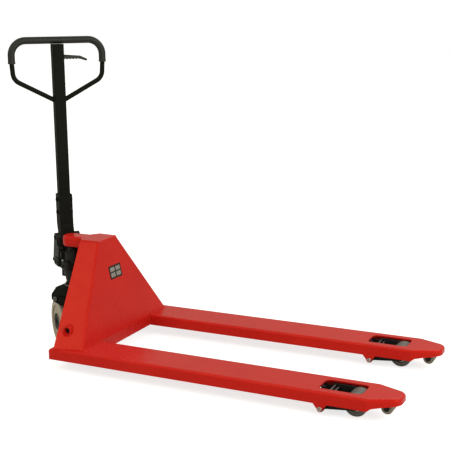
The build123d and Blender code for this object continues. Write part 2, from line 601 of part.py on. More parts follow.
# ---------------------------------------------------------------------------
# Thrust base: roof-shaped plate that carries the rocker's rear pins
# ---------------------------------------------------------------------------
plate_rear = KINGPIN_X - 50.0
plate_front = KINGPIN_X + 42.0
eave_y = 91.0
eave_bottom = 190.0
eave_top = 213.0
ridge_y = 58.0
roof_sheet = 6.0
with BuildPart() as thrust_plate:
    with BuildSketch(across(CHASSIS, plate_rear)):
        with BuildLine():
            roof = FilletPolyline((-eave_y, eave_bottom), (-eave_y, eave_top), (-ridge_y, THRUST_TOP),
                                  (ridge_y, THRUST_TOP), (eave_y, eave_top), (eave_y, eave_bottom),
                                  radius=9.0)
            offset(roof, amount=roof_sheet, side=Side.RIGHT)
        make_face()
    extrude(amount=plate_front - plate_rear)
    column(CHASSIS, KINGPIN_X, 0, STEM_RADIUS + RUNNING, eave_bottom, THRUST_TOP + roof_sheet, Mode.SUBTRACT)
    crossbar(CHASSIS, ROCKER_PIN_X, ROCKER_PIN_Z, ROCKER_PIN_RADIUS + FIT, -FORK_WIDTH, FORK_WIDTH,
             Mode.SUBTRACT)
save(thrust_plate, "thrust_plate")

bearing_outer = 40.0
with BuildPart() as thrust_bearing:
    column(CHASSIS, KINGPIN_X, 0, bearing_outer, THRUST_TOP, THRUST_TOP + BEARING_HEIGHT)
    column(CHASSIS, KINGPIN_X, 0, STEM_RADIUS + RUNNING, THRUST_TOP, THRUST_TOP + BEARING_HEIGHT,
           Mode.SUBTRACT)
    fillet(thrust_bearing.edges().filter_by(GeomType.CIRCLE).group_by(SortBy.RADIUS)[-1], 1.5)
save(thrust_bearing, "thrust_bearing")

rocker_pin_inner = eave_y - roof_sheet
rocker_pin_outer = REAR_ARM_Y + REAR_ARM_THICKNESS + 1.0
with BuildPart() as rocker_pins:
    for side_sign in SIDES.values():
        shank_low, shank_high = arm_span(rocker_pin_inner - 2, rocker_pin_outer - rocker_pin_inner + 2,
                                         side_sign)
        crossbar(CHASSIS, ROCKER_PIN_X, ROCKER_PIN_Z, ROCKER_PIN_RADIUS, shank_low, shank_high)
        head_low, head_high = arm_span(rocker_pin_outer, 3.0, side_sign)
        crossbar(CHASSIS, ROCKER_PIN_X, ROCKER_PIN_Z, ROCKER_PIN_RADIUS + 2, head_low, head_high)
save(rocker_pins, "rocker_pins")

# ---------------------------------------------------------------------------
# Steering unit: pump body, wheels and axle
# ---------------------------------------------------------------------------
neck_low = THRUST_TOP + BEARING_HEIGHT + 0.15
reservoir_bottom = 304.0
reservoir_front = 36.0
reservoir_rear = -140.0
reservoir_half = 46.0
barrel_bottom = 250.0
cheek_inner = 13.0
cheek_outer = LUG_OUTER - 5.0
cheek_x = -46.5
cheek_length = 53.0
cheek_height = 43.0
horn_outer = 41.0
horn_x = -56.5
horn_length = 9.0
wheel_inner_y = STEER_WHEEL_OUTER_Y - STEER_WHEEL_WIDTH
housing_half = wheel_inner_y - 1.5
plug_x = -12.0
plug_y = -38.5
plug_radius = 5.0
with BuildPart() as pump_body:
    # Axle housing and the stem that turns in the thrust plate
    crossbar(STEER, 0, STEER_WHEEL_RADIUS, 25, -housing_half, housing_half)
    with BuildSketch(level(STEER, STEER_WHEEL_RADIUS)):
        RectangleRounded(44, 2 * housing_half - 4, 6)
    extrude(amount=48)
    column(STEER, 0, 0, STEM_RADIUS, STEER_WHEEL_RADIUS + 20, neck_low + 10)
    # Neck flange on the thrust bearing, and the casting that flares out to the reservoir
    column(STEER, 0, 0, 36, neck_low, neck_low + 6)
    with BuildSketch(level(STEER, neck_low + 6)):
        Circle(30)
    with BuildSketch(level(STEER, reservoir_bottom)):
        with Locations((-6, 0)):
            Ellipse(38, reservoir_half - 6)
    loft()
    # Reservoir casting, with the ram cylinder in front and the plunger barrel behind
    with BuildSketch(level(STEER, reservoir_bottom)):
        with Locations(((reservoir_front + reservoir_rear) / 2, 0)):
            RectangleRounded(reservoir_front - reservoir_rear, 2 * reservoir_half, 20)
    extrude(amount=RESERVOIR_TOP - reservoir_bottom)
    fillet(pump_body.faces().sort_by(Axis.Z)[-1].edges(), 4)
    column(STEER, 0, 0, CYLINDER_RADIUS, RESERVOIR_TOP - 10, CYLINDER_TOP)
    column(STEER, PLUNGER_X, 0, PLUNGER_RADIUS + 9, barrel_bottom, reservoir_bottom + 6)
    # Lugs for the tiller pin
    for side_sign in SIDES.values():
        lug_low, lug_high = arm_span(LUG_INNER, LUG_OUTER - LUG_INNER, side_sign)
        with BuildSketch(upright(STEER, lug_high)):
            with Locations((TILLER_PIVOT_X, TILLER_PIVOT_Z)):
                Circle(19)
            with Locations((TILLER_PIVOT_X - 1, RESERVOIR_TOP - 14)):
                Rectangle(92, 4)
            make_hull()
            with Locations((RELEASE_PIN_X, RELEASE_PIN_Z)):
                Circle(12)
        extrude(amount=LUG_OUTER - LUG_INNER)
        # Cheeks beside the release lever, from the cylinder to the lugs
        with BuildSketch(level(STEER, RESERVOIR_TOP - 6)):
            with Locations((cheek_x, side_sign * (cheek_inner + cheek_outer) / 2)):
                Rectangle(cheek_length, cheek_outer - cheek_inner)
        extrude(amount=cheek_height)
        # Horns that carry on upwards in front of the yoke
        with BuildSketch(level(STEER, RESERVOIR_TOP)):
            with Locations((horn_x, side_sign * (cheek_inner + horn_outer) / 2)):
                Rectangle(horn_length, horn_outer - cheek_inner)
        extrude(amount=TILLER_PIVOT_Z - RESERVOIR_TOP)
    crossbar(STEER, TILLER_PIVOT_X, TILLER_PIVOT_Z, TILLER_PIVOT_RADIUS + FIT, -60, 60, Mode.SUBTRACT)
    crossbar(STEER, RELEASE_PIN_X, RELEASE_PIN_Z, 4 + FIT, -60, 60, Mode.SUBTRACT)
    crossbar(STEER, 0, STEER_WHEEL_RADIUS, WHEEL_AXLE_RADIUS + FIT, -60, 60, Mode.SUBTRACT)
    column(STEER, 0, 0, RAM_RADIUS + RUNNING, RAM_BOTTOM - 6, CYLINDER_TOP, Mode.SUBTRACT)
    column(STEER, PLUNGER_X, 0, PLUNGER_RADIUS + RUNNING, barrel_bottom + 6, RESERVOIR_TOP, Mode.SUBTRACT)
    column(STEER, plug_x, plug_y, plug_radius + FIT, RESERVOIR_TOP - 12, RESERVOIR_TOP, Mode.SUBTRACT)
    column(STEER, RELEASE_PIN_X, 0, 7 + FIT, RESERVOIR_TOP - 14, RESERVOIR_TOP, Mode.SUBTRACT)
save(pump_body, "pump_body")

gland_height = 9.0
with BuildPart() as ram_gland:
    with BuildSketch(level(STEER, CYLINDER_TOP)):
        RegularPolygon(27, 8)
        Circle(RAM_RADIUS + RUNNING, mode=Mode.SUBTRACT)
    extrude(amount=gland_height)
    chamfer(ram_gland.faces().sort_by(Axis.Z)[-1].outer_wire().edges(), 1.5)
save(ram_gland, "ram_gland")

with BuildPart() as filler_plug:
    column(STEER, plug_x, plug_y, plug_radius, RESERVOIR_TOP - 11, RESERVOIR_TOP)
    with BuildSketch(Plane(STEER.from_local_coords(Vector(plug_x, plug_y, RESERVOIR_TOP)))):
        RegularPolygon(7, 6)
    extrude(amount=6)
save(filler_plug, "filler_plug")

with BuildPart() as release_valve:
    column(STEER, RELEASE_PIN_X, 0, 7, RESERVOIR_TOP - 13, RESERVOIR_TOP + 12)
    column(STEER, RELEASE_PIN_X, 0, 3, RESERVOIR_TOP + 12, RESERVOIR_TOP + 24)
    column(STEER, RELEASE_PIN_X, 0, 10, RESERVOIR_TOP + FIT, RESERVOIR_TOP + 6)
save(release_valve, "release_valve")

with BuildPart() as release_pin:
    crossbar(STEER, RELEASE_PIN_X, RELEASE_PIN_Z, 4, -LUG_OUTER - 2, LUG_OUTER + 2)
save(release_pin, "release_pin")

release_boss = 9.0
with BuildPart() as release_lever:
    with BuildSketch(upright(STEER, 4)):
        with Locations((RELEASE_PIN_X, RELEASE_PIN_Z)):
            Circle(release_boss)
        with Locations((TILLER_PIVOT_X + 18, TILLER_PIVOT_Z - 22)):
            Circle(4)
        make_hull()
    extrude(amount=8)
    crossbar(STEER, RELEASE_PIN_X, RELEASE_PIN_Z, 4 + RUNNING, -10, 10, Mode.SUBTRACT)
save(release_lever, "release_lever")

groove_depth = 1.5
circlip_thickness = 1.5
circlip_y = STEER_WHEEL_OUTER_Y + 0.5
axle_half = STEER_WHEEL_OUTER_Y + 5.0
with BuildPart() as wheel_axle:
    crossbar(STEER, 0, STEER_WHEEL_RADIUS, WHEEL_AXLE_RADIUS, -axle_half, axle_half)
    chamfer(wheel_axle.edges().filter_by(GeomType.CIRCLE), 1)
    for side_sign in SIDES.values():
        groove_low, groove_high = arm_span(circlip_y, circlip_thickness + 2 * FIT, side_sign)
        with BuildSketch(Plane(STEER.from_local_coords(Vector(0, groove_low, STEER_WHEEL_RADIUS)),
                               z_dir=STEER.y_dir)):
            Circle(WHEEL_AXLE_RADIUS + 1)
            Circle(WHEEL_AXLE_RADIUS - groove_depth, mode=Mode.SUBTRACT)
        extrude(amount=groove_high - groove_low, mode=Mode.SUBTRACT)
save(wheel_axle, "wheel_axle")

with BuildPart() as axle_circlips:
    for side_sign in SIDES.values():
        clip_low, clip_high = arm_span(circlip_y + FIT, circlip_thickness, side_sign)
        with BuildSketch(Plane(STEER.from_local_coords(Vector(0, clip_low, STEER_WHEEL_RADIUS)),
                               z_dir=STEER.y_dir)):
            Circle(WHEEL_AXLE_RADIUS + 3)
            Circle(WHEEL_AXLE_RADIUS - groove_depth + FIT, mode=Mode.SUBTRACT)
        extrude(amount=clip_high - clip_low)
save(axle_circlips, "axle_circlips")


def make_steer_wheel(prefix, side_sign):
    """Steering wheel tyre, and the hub that holds its bearings."""
    wheel_low, wheel_high = arm_span(wheel_inner_y, STEER_WHEEL_WIDTH, side_sign)
    with BuildPart() as tyre:
        crossbar(STEER, 0, STEER_WHEEL_RADIUS, STEER_WHEEL_RADIUS, wheel_low, wheel_high)
        fillet(tyre.edges().filter_by(GeomType.CIRCLE), 5)
        crossbar(STEER, 0, STEER_WHEEL_RADIUS, STEER_HUB_RADIUS + FIT, wheel_low, wheel_high,
                 Mode.SUBTRACT)
        # Shallow dish in each face, between tread and hub
        for face in (wheel_low, wheel_high - 4):
            with BuildSketch(Plane(STEER.from_local_coords(Vector(0, face, STEER_WHEEL_RADIUS)),
                                   z_dir=STEER.y_dir)):
                Circle(STEER_WHEEL_RADIUS - 24)
                Circle(STEER_HUB_RADIUS + 7, mode=Mode.SUBTRACT)
            extrude(amount=4, mode=Mode.SUBTRACT)
    save(tyre, f"{prefix}_steer_tyre")
    with BuildPart() as hub:
        crossbar(STEER, 0, STEER_WHEEL_RADIUS, STEER_HUB_RADIUS, wheel_low, wheel_high)
        chamfer(hub.edges().filter_by(GeomType.CIRCLE), 1.5)
        crossbar(STEER, 0, STEER_WHEEL_RADIUS, WHEEL_AXLE_RADIUS + RUNNING, wheel_low, wheel_high,
                 Mode.SUBTRACT)
    save(hub, f"{prefix}_steer_hub")


for side_name, side_sign in SIDES.items():
    make_steer_wheel(side_name, side_sign)

# Ram, with a domed end under the seat in the nose
with BuildPart() as ram:
    column(STEER, 0, 0, RAM_RADIUS, RAM_BOTTOM, RAM_TOP)
    fillet(ram.edges().sort_by(Axis.Z)[-1], 5)
save(ram, "ram")

# Pump plunger with its cap and return spring
cap_radius = 17.0
cap_thickness = 8.0
spring_wire = 1.8
spring_radius = 15.0
spring_bottom = RESERVOIR_TOP + 0.2
spring_top = CAP_TOP - cap_thickness - 0.2
with BuildPart() as plunger:
    column(STEER, PLUNGER_X, 0, PLUNGER_RADIUS, 300, CAP_TOP - cap_thickness)
save(plunger, "plunger")
with BuildPart() as plunger_cap:
    column(STEER, PLUNGER_X, 0, cap_radius, CAP_TOP - cap_thickness, CAP_TOP)
    fillet(plunger_cap.edges().sort_by(Axis.Z)[-1], 2)
save(plunger_cap, "plunger_cap")
spring_turns = 6
spring_base = Plane(STEER.from_local_coords(Vector(PLUNGER_X, 0, spring_bottom + spring_wire)))
with BuildPart() as plunger_spring:
    with BuildLine(spring_base):
        coil_height = spring_top - spring_bottom - 2 * spring_wire
        coil = Helix(coil_height / spring_turns, coil_height, spring_radius)
    with BuildSketch(coil ^ 0):
        Circle(spring_wire)
    sweep(is_frenet=True)
save(plunger_spring, "plunger_spring")

# ---------------------------------------------------------------------------
# Tiller: yoke, post, loop handle and grip
# ---------------------------------------------------------------------------
post_half = POST_WIDTH / 2
yoke_inner = post_half + FIT
yoke_outer = yoke_inner + YOKE_WALL
ear_base = 470.0
front_base = 445.0
with BuildPart() as tiller_yoke:
    for side_sign in SIDES.values():
        ear_low, ear_high = arm_span(yoke_inner, YOKE_WALL, side_sign)
        with BuildSketch(upright(STEER, ear_high)):
            with Locations((TILLER_PIVOT_X, TILLER_PIVOT_Z)):
                Circle(18)
            with Locations((CAM_X, CAM_Z)):
                Circle(14)
            with Locations((TILLER_X, ear_base)):
                Rectangle(2 * yoke_outer, 2)
            make_hull()
        extrude(amount=YOKE_WALL)
    with BuildSketch(level(STEER, ear_base)):
        with Locations((TILLER_X, 0)):
            Rectangle(2 * yoke_outer, 2 * yoke_outer)
            Rectangle(2 * yoke_inner, 2 * yoke_inner, mode=Mode.SUBTRACT)
    extrude(amount=YOKE_TOP - ear_base)
    # The front wall reaches further down than the rear one, which has to clear the plunger
    with BuildSketch(level(STEER, front_base)):
        with Locations((TILLER_X + yoke_inner + YOKE_WALL / 2, 0)):
            Rectangle(YOKE_WALL, 2 * yoke_outer)
    extrude(amount=ear_base - front_base + 1)
    crossbar(STEER, TILLER_PIVOT_X, TILLER_PIVOT_Z, TILLER_PIVOT_RADIUS + RUNNING, -60, 60, Mode.SUBTRACT)
    crossbar(STEER, CAM_X, CAM_Z, 6 + FIT, -60, 60, Mode.SUBTRACT)
    for bolt_z in (520, 572):
        crossbar(STEER, TILLER_X, bolt_z, 5 + FIT, -60, 60, Mode.SUBTRACT)
save(tiller_yoke, "tiller_yoke")

lever_slot_height = 42.0
lever_slot_width = 21.0
with BuildPart() as tiller_post:
    with BuildSketch(level(STEER, POST_BOTTOM)):
        with Locations((TILLER_X, 0)):
            RectangleRounded(POST_WIDTH, POST_WIDTH, 6)
            RectangleRounded(POST_WIDTH - 2 * POST_WALL, POST_WIDTH - 2 * POST_WALL, 3, mode=Mode.SUBTRACT)
    extrude(amount=POST_TOP - POST_BOTTOM)
    with BuildSketch(upright(STEER, POST_WIDTH)):
        with Locations((TILLER_X, LEVER_Z)):
            RectangleRounded(lever_slot_width, lever_slot_height, 5)
    extrude(amount=POST_WIDTH - 10, mode=Mode.SUBTRACT)
    bar_along(STEER, (TILLER_X - POST_WIDTH, 0, LEVER_Z), STEER.x_dir, 4 + FIT, 2 * POST_WIDTH, Mode.SUBTRACT)
    for bolt_z in (520, 572):
        crossbar(STEER, TILLER_X, bolt_z, 5 + FIT, -60, 60, Mode.SUBTRACT)
save(tiller_post, "tiller_post")

bolt_head = 6.0
with BuildPart() as yoke_bolts:
    for bolt_z in (520, 572):
        crossbar(STEER, TILLER_X, bolt_z, 5, -yoke_outer - bolt_head, yoke_outer + bolt_head)
        for side_sign in SIDES.values():
            head_low, head_high = arm_span(yoke_outer + FIT, bolt_head, side_sign)
            with BuildSketch(Plane(STEER.from_local_coords(Vector(TILLER_X, head_low, bolt_z)),
                                   z_dir=STEER.y_dir)):
                RegularPolygon(9, 6)
            extrude(amount=head_high - head_low)
save(yoke_bolts, "yoke_bolts")

bush_radius = 16.0
with BuildPart() as pivot_bushes:
    for side_sign in SIDES.values():
        bush_low, bush_high = arm_span(yoke_outer + 0.1, LUG_INNER - yoke_outer - 0.2, side_sign)
        crossbar(STEER, TILLER_PIVOT_X, TILLER_PIVOT_Z, bush_radius, bush_low, bush_high)
        crossbar(STEER, TILLER_PIVOT_X, TILLER_PIVOT_Z, TILLER_PIVOT_RADIUS + FIT, bush_low, bush_high,
                 Mode.SUBTRACT)
save(pivot_bushes, "pivot_bushes")

with BuildPart() as tiller_pin:
    crossbar(STEER, TILLER_PIVOT_X, TILLER_PIVOT_Z, TILLER_PIVOT_RADIUS, -LUG_OUTER - 4, LUG_OUTER + 4)
    chamfer(tiller_pin.edges().filter_by(GeomType.CIRCLE), 1)
save(tiller_pin, "tiller_pin")

cam_width = 12.0
with BuildPart() as cam_pin:
    crossbar(STEER, CAM_X, CAM_Z, 6, -yoke_outer - 1, yoke_outer + 1)
save(cam_pin, "cam_pin")
with BuildPart() as cam_roller:
    crossbar(STEER, CAM_X, CAM_Z, CAM_ROLLER_RADIUS, -cam_width, cam_width)
    crossbar(STEER, CAM_X, CAM_Z, 6 + RUNNING, -cam_width, cam_width, Mode.SUBTRACT)
save(cam_roller, "cam_roller")

# Loop path, seen from behind: out from the post, up the sides and over the top
LOOP_JOIN_Z = 977.0
LOOP_LOW_HALF = 180.0
LOOP_LOW_Z = 1060.0
loop_plane = across(STEER, TILLER_X)
loop_points = [(post_half - LOOP_TUBE_RADIUS, LOOP_JOIN_Z - 5), (LOOP_LOW_HALF, LOOP_LOW_Z),
               (LOOP_HALF_WIDTH, GRIP_BOTTOM), (LOOP_HALF_WIDTH, LOOP_TOP)]
loop_points += [(-y, z) for y, z in reversed(loop_points)]
loop_radii = [45.0, 90.0, LOOP_CORNER, LOOP_CORNER, 90.0, 45.0]
with BuildPart() as tiller_loop:
    with BuildLine(loop_plane):
        loop_path = FilletPolyline(*loop_points, radius=loop_radii)
    with BuildSketch(loop_path ^ 0):
        Circle(LOOP_TUBE_RADIUS)
    sweep()
    # The welded ends stop flush at the post's sides
    with BuildSketch(level(STEER, LOOP_JOIN_Z - POST_WIDTH)):
        with Locations((TILLER_X, 0)):
            Rectangle(POST_WIDTH, POST_WIDTH)
    extrude(amount=2 * POST_WIDTH, mode=Mode.SUBTRACT)
save(tiller_loop, "tiller_loop")

grip_points = [(LOOP_HALF_WIDTH, GRIP_BOTTOM), (LOOP_HALF_WIDTH, LOOP_TOP),
               (-LOOP_HALF_WIDTH, LOOP_TOP), (-LOOP_HALF_WIDTH, GRIP_BOTTOM)]
with BuildPart() as loop_grip:
    with BuildLine(loop_plane):
        grip_path = FilletPolyline(*grip_points, radius=LOOP_CORNER)
    with BuildSketch(grip_path ^ 0):
        Circle(GRIP_RADIUS)
        Circle(LOOP_TUBE_RADIUS + FIT, mode=Mode.SUBTRACT)
    sweep()
save(loop_grip, "loop_grip")

# Control lever: thin plate with finger waves underneath and a drooping tip
lever_thickness = 9.0
wave_count = 5
wave_pitch = 12.5
with BuildPart() as control_lever:
    with BuildSketch(across(STEER, TILLER_X - lever_thickness / 2)):
        with BuildLine():
            Polyline((-18, LEVER_Z - 5), (-18, LEVER_Z + 5), (-5, LEVER_Z + 10), (24, LEVER_Z + 10),
                     (92, LEVER_Z + 4), (118, LEVER_Z - 8), (121, LEVER_Z - 15), (114, LEVER_Z - 16),
                     (92, LEVER_Z - 9), (24, LEVER_Z - 10), (-5, LEVER_Z - 10),
                     (-18, LEVER_Z - 5))
        make_face()
        with Locations([(32 + wave_pitch * i, LEVER_Z - 12) for i in range(wave_count)]):
            Circle(5.5, mode=Mode.SUBTRACT)
    extrude(amount=lever_thickness)
    bar_along(STEER, (TILLER_X - 30, 0, LEVER_Z), STEER.x_dir, 4 + RUNNING, 60, Mode.SUBTRACT)
    bar_along(STEER, (TILLER_X - 30, -ROD_OFFSET, LEVER_Z), STEER.x_dir, 3.2, 60, Mode.SUBTRACT)
save(control_lever, "control_lever")

with BuildPart() as lever_pin:
    bar_along(STEER, (TILLER_X - post_half - 1.5, 0, LEVER_Z), STEER.x_dir, 4, POST_WIDTH + 3)
save(lever_pin, "lever_pin")

rod_side = 9.0
rod_bottom = 466.0
with BuildPart() as control_rod:
    column(STEER, TILLER_X + rod_side, -ROD_OFFSET, 3, rod_bottom, LEVER_Z + 3)
    bar_along(STEER, (TILLER_X - lever_thickness / 2 - 2, -ROD_OFFSET, LEVER_Z), STEER.x_dir, 2.5,
              rod_side + lever_thickness / 2 + 2)
save(control_rod, "control_rod")
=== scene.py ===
import json
import math
import random

import bmesh
import bpy
from mathutils import Matrix, Vector


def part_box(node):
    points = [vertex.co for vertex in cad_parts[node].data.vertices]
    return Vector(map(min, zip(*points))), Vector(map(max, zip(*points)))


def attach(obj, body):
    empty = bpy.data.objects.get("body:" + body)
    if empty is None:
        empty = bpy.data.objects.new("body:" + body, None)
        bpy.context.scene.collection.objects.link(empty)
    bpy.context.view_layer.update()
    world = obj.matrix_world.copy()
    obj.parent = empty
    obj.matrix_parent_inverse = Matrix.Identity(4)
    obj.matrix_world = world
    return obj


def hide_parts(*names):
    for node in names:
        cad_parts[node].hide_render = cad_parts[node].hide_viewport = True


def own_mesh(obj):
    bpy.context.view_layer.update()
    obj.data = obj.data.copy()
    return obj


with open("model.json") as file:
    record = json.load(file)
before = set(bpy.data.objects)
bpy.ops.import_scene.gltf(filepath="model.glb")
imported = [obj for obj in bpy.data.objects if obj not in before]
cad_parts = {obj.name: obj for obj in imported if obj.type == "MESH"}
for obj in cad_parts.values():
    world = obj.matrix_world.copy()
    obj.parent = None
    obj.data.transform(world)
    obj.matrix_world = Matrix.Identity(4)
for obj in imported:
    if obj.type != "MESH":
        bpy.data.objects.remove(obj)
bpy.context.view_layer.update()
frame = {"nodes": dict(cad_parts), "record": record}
MM = 0.001
SIDES = {"left": 1, "right": -1}
random.seed(7)


# ---------------------------------------------------------------------------
# Node materials
# ---------------------------------------------------------------------------
def srgb(red, green, blue):
    """Screen colour, 0 to 255, as the linear colour that a shader takes."""
    def channel(value):
        value /= 255
        return value / 12.92 if value <= 0.04045 else ((value + 0.055) / 1.055) ** 2.4
    return (channel(red), channel(green), channel(blue), 1.0)


def node(tree, kind, inputs=None, **properties):
    """New shader node: inputs are values, or sockets to link."""
    made = tree.nodes.new(kind)
    for key, value in properties.items():
        setattr(made, key, value)
    for key, value in (inputs or {}).items():
        if isinstance(value, bpy.types.NodeSocket):
            tree.links.new(value, made.inputs[key])
        else:
            made.inputs[key].default_value = value
    return made


def new_material(name):
    """Material with its tree, its Principled shader and its object coordinates."""
    material = bpy.data.materials.new(name)
    material.use_nodes = True
    tree = material.node_tree
    shader = tree.nodes["Principled BSDF"]
    place = node(tree, "ShaderNodeTexCoord").outputs["Object"]
    return material, tree, shader, place


def noise(tree, place, scale, detail=4.0, stretch=(1, 1, 1), roughness=0.5):
    """Noise value, with an optional stretch of its coordinates."""
    if stretch != (1, 1, 1):
        place = node(tree, "ShaderNodeMapping", {"Vector": place, "Scale": stretch}).outputs[0]
    made = node(tree, "ShaderNodeTexNoise",
                {"Vector": place, "Scale": scale, "Detail": detail, "Roughness": roughness})
    return made.outputs["Fac"]


def remap(tree, value, low, high, to_low=0.0, to_high=1.0):
    """Value mapped from one range to another and clamped."""
    return node(tree, "ShaderNodeMapRange", {"Value": value, "From Min": low, "From Max": high,
                                             "To Min": to_low, "To Max": to_high}).outputs[0]


def blend_colour(tree, factor, first, second, mode="MIX"):
    """Mix of two colours by a factor."""
    made = node(tree, "ShaderNodeMix", data_type="RGBA", blend_type=mode)
    for socket, value in ((made.inputs[0], factor), (made.inputs[6], first), (made.inputs[7], second)):
        if isinstance(value, bpy.types.NodeSocket):
            tree.links.new(value, socket)
        else:
            socket.default_value = value
    return made.outputs[2]


def maths(tree, operation, first, second=0.0):
    """One arithmetic step on two values."""
    return node(tree, "ShaderNodeMath", {0: first, 1: second}, operation=operation).outputs[0]


def edge_mask(tree, radius):
    """1 along sharp outer and inner edges, 0 on open faces."""
    rounded = node(tree, "ShaderNodeBevel", {"Radius": radius}, samples=4).outputs[0]
    normal = node(tree, "ShaderNodeNewGeometry").outputs["Normal"]
    turn = node(tree, "ShaderNodeVectorMath", {0: rounded, 1: normal},
                operation="DOT_PRODUCT").outputs["Value"]
    return remap(tree, turn, 0.995, 0.88)


def bump(tree, shader, height, distance, strength=1.0):
    """Bump from a height value, with its depth in metres."""
    made = node(tree, "ShaderNodeBump", {"Height": height, "Distance": distance, "Strength": strength})
    tree.links.new(made.outputs[0], shader.inputs["Normal"])


def coated(name, colour, shade, wear_and_highlight_colour, gloss, wear_and_highlight_strength=0.6, grain=520.0, grain_depth=0.00012,
           tint=(1.0, 1.0, 1.0, 1.0), specular=0.25):
    """Painted or coated metal: slow shade changes, orange peel, scuffs and rubbed edges; where the worn
    colour is brighter than the paint, as on the red, it is a painted highlight on the edges and scuffs.
    """
    material, tree, shader, place = new_material(name)
    slow = remap(tree, noise(tree, place, 5.0, 3.0), 0.35, 0.7)
    body = blend_colour(tree, slow, colour, shade)
    patches = remap(tree, noise(tree, place, 60.0, 6.0, roughness=0.7), 0.45, 0.62)
    edges = maths(tree, "MULTIPLY", edge_mask(tree, 0.0022), patches)
    scuffs = remap(tree, noise(tree, place, 210.0, 3.0, (0.08, 1.0, 1.0)), 0.66, 0.74)
    scuffs = maths(tree, "MULTIPLY", scuffs, remap(tree, noise(tree, place, 9.0, 2.0), 0.5, 0.7))
    # Mask of the worn colour, from rubbed edges and scuffs; on the red paint it places a painted highlight.
    wear_and_highlight_mask = maths(tree, "MAXIMUM", edges, maths(tree, "MULTIPLY", scuffs, 0.35))
    wear_and_highlight_mask = maths(tree, "MULTIPLY", wear_and_highlight_mask, wear_and_highlight_strength)
    tree.links.new(blend_colour(tree, wear_and_highlight_mask, body, wear_and_highlight_colour), shader.inputs["Base Color"])
    uneven = remap(tree, noise(tree, place, 24.0, 5.0), 0.3, 0.7, gloss - 0.05, gloss + 0.07)
    dulled = maths(tree, "ADD", uneven, maths(tree, "MULTIPLY", wear_and_highlight_mask, 0.25))
    tree.links.new(dulled, shader.inputs["Roughness"])
    shader.inputs["Specular Tint"].default_value = tint
    shader.inputs["Specular IOR Level"].default_value = specular
    peel = maths(tree, "ADD", noise(tree, place, grain, 2.0), maths(tree, "MULTIPLY", scuffs, -0.5))
    bump(tree, shader, peel, grain_depth)
    return material


def bare_metal(name, colour, dark, gloss, brush=(1.0, 1.0, 1.0), depth=0.00004):
    """Bare or plated metal with brushing, stains and brighter rubbed edges."""
    material, tree, shader, place = new_material(name)
    stains = remap(tree, noise(tree, place, 45.0, 6.0, roughness=0.65), 0.4, 0.7)
    body = blend_colour(tree, stains, colour, dark)
    bright = tuple(min(1.0, c * 1.35) for c in colour[:3]) + (1.0,)
    edges = maths(tree, "MULTIPLY", edge_mask(tree, 0.001), 0.5)
    tree.links.new(blend_colour(tree, edges, body, bright), shader.inputs["Base Color"])
    shader.inputs["Metallic"].default_value = 1.0
    lines = noise(tree, place, 700.0, 3.0, brush)
    rough = remap(tree, lines, 0.3, 0.7, gloss - 0.06, gloss + 0.08)
    tree.links.new(rough, shader.inputs["Roughness"])
    bump(tree, shader, lines, depth)
    return material


def moulded(name, colour, dust, gloss, grain, depth, dust_share=0.25):
    """Rubber, polyurethane or plastic: fine moulded grain with dust and rubbed edges."""
    material, tree, shader, place = new_material(name)
    cloud = remap(tree, noise(tree, place, 18.0, 6.0, roughness=0.62), 0.42, 0.72, 0.0, dust_share)
    rub = maths(tree, "MULTIPLY", edge_mask(tree, 0.0018), dust_share * 1.2)
    dusty = maths(tree, "MAXIMUM", cloud, rub)
    tree.links.new(blend_colour(tree, dusty, colour, dust), shader.inputs["Base Color"])
    rough = remap(tree, noise(tree, place, 40.0, 3.0), 0.3, 0.7, gloss - 0.06, gloss + 0.08)
    tree.links.new(rough, shader.inputs["Roughness"])
    bump(tree, shader, noise(tree, place, grain, 2.0), depth)
    return material


# The red's brighter orange worn colour is a painted highlight along its edges; its scuffs, which are wear,
# take the same colour.
RED = coated("red_paint", srgb(208, 34, 27), srgb(200, 29, 25), srgb(222, 62, 42), 0.24, 0.12,
             grain_depth=0.00001, tint=(1.0, 0.28, 0.14, 1.0), specular=0.4)
BLACK = coated("black_paint", srgb(29, 30, 25), srgb(23, 24, 20), srgb(74, 72, 66), 0.5, 0.4, 700.0, 0.00008,
               specular=0.05)
CASTING = coated("dark_casting", srgb(33, 34, 29), srgb(22, 23, 20), srgb(88, 86, 78), 0.46, 0.5, 260.0,
                 0.0003)
DARK_LINK = coated("dark_link", srgb(30, 29, 27), srgb(20, 20, 18), srgb(84, 80, 72), 0.5, 0.5, 300.0, 0.0003)
GRIP = moulded("grip_rubber", srgb(29, 30, 24), srgb(46, 46, 40), 0.5, 900.0, 0.0002, 0.12)
LEVER = moulded("lever_plastic", srgb(30, 30, 28), srgb(62, 60, 56), 0.42, 800.0, 0.00012, 0.15)
HUB = moulded("hub_plastic", srgb(14, 13, 12), srgb(40, 38, 34), 0.6, 500.0, 0.0002, 0.1)
STEER_TYRE = moulded("steer_polyurethane", srgb(182, 171, 149), srgb(126, 116, 98), 0.46, 420.0, 0.0002,
                     0.35)
LOAD_TYRE = moulded("load_polyurethane", srgb(104, 102, 96), srgb(70, 68, 62), 0.45, 420.0, 0.0002, 0.5)
ENTRY_TYRE = moulded("entry_polyurethane", srgb(150, 142, 122), srgb(92, 86, 74), 0.45, 420.0, 0.0002, 0.5)
ZINC = bare_metal("zinc_plate", srgb(196, 194, 186), srgb(150, 146, 134), 0.34)
CHROME = bare_metal("hard_chrome", srgb(226, 228, 230), srgb(206, 208, 210), 0.12, (1.0, 1.0, 6.0), 0.00001)
SPRING = bare_metal("spring_steel", srgb(120, 118, 114), srgb(84, 80, 74), 0.36)
LABEL = bare_metal("label_metal", srgb(70, 68, 62), srgb(58, 56, 52), 0.4, (0.05, 1.0, 1.0))
CELL = moulded("label_print", srgb(150, 148, 138), srgb(112, 110, 100), 0.4, 600.0, 0.00005, 0.5)

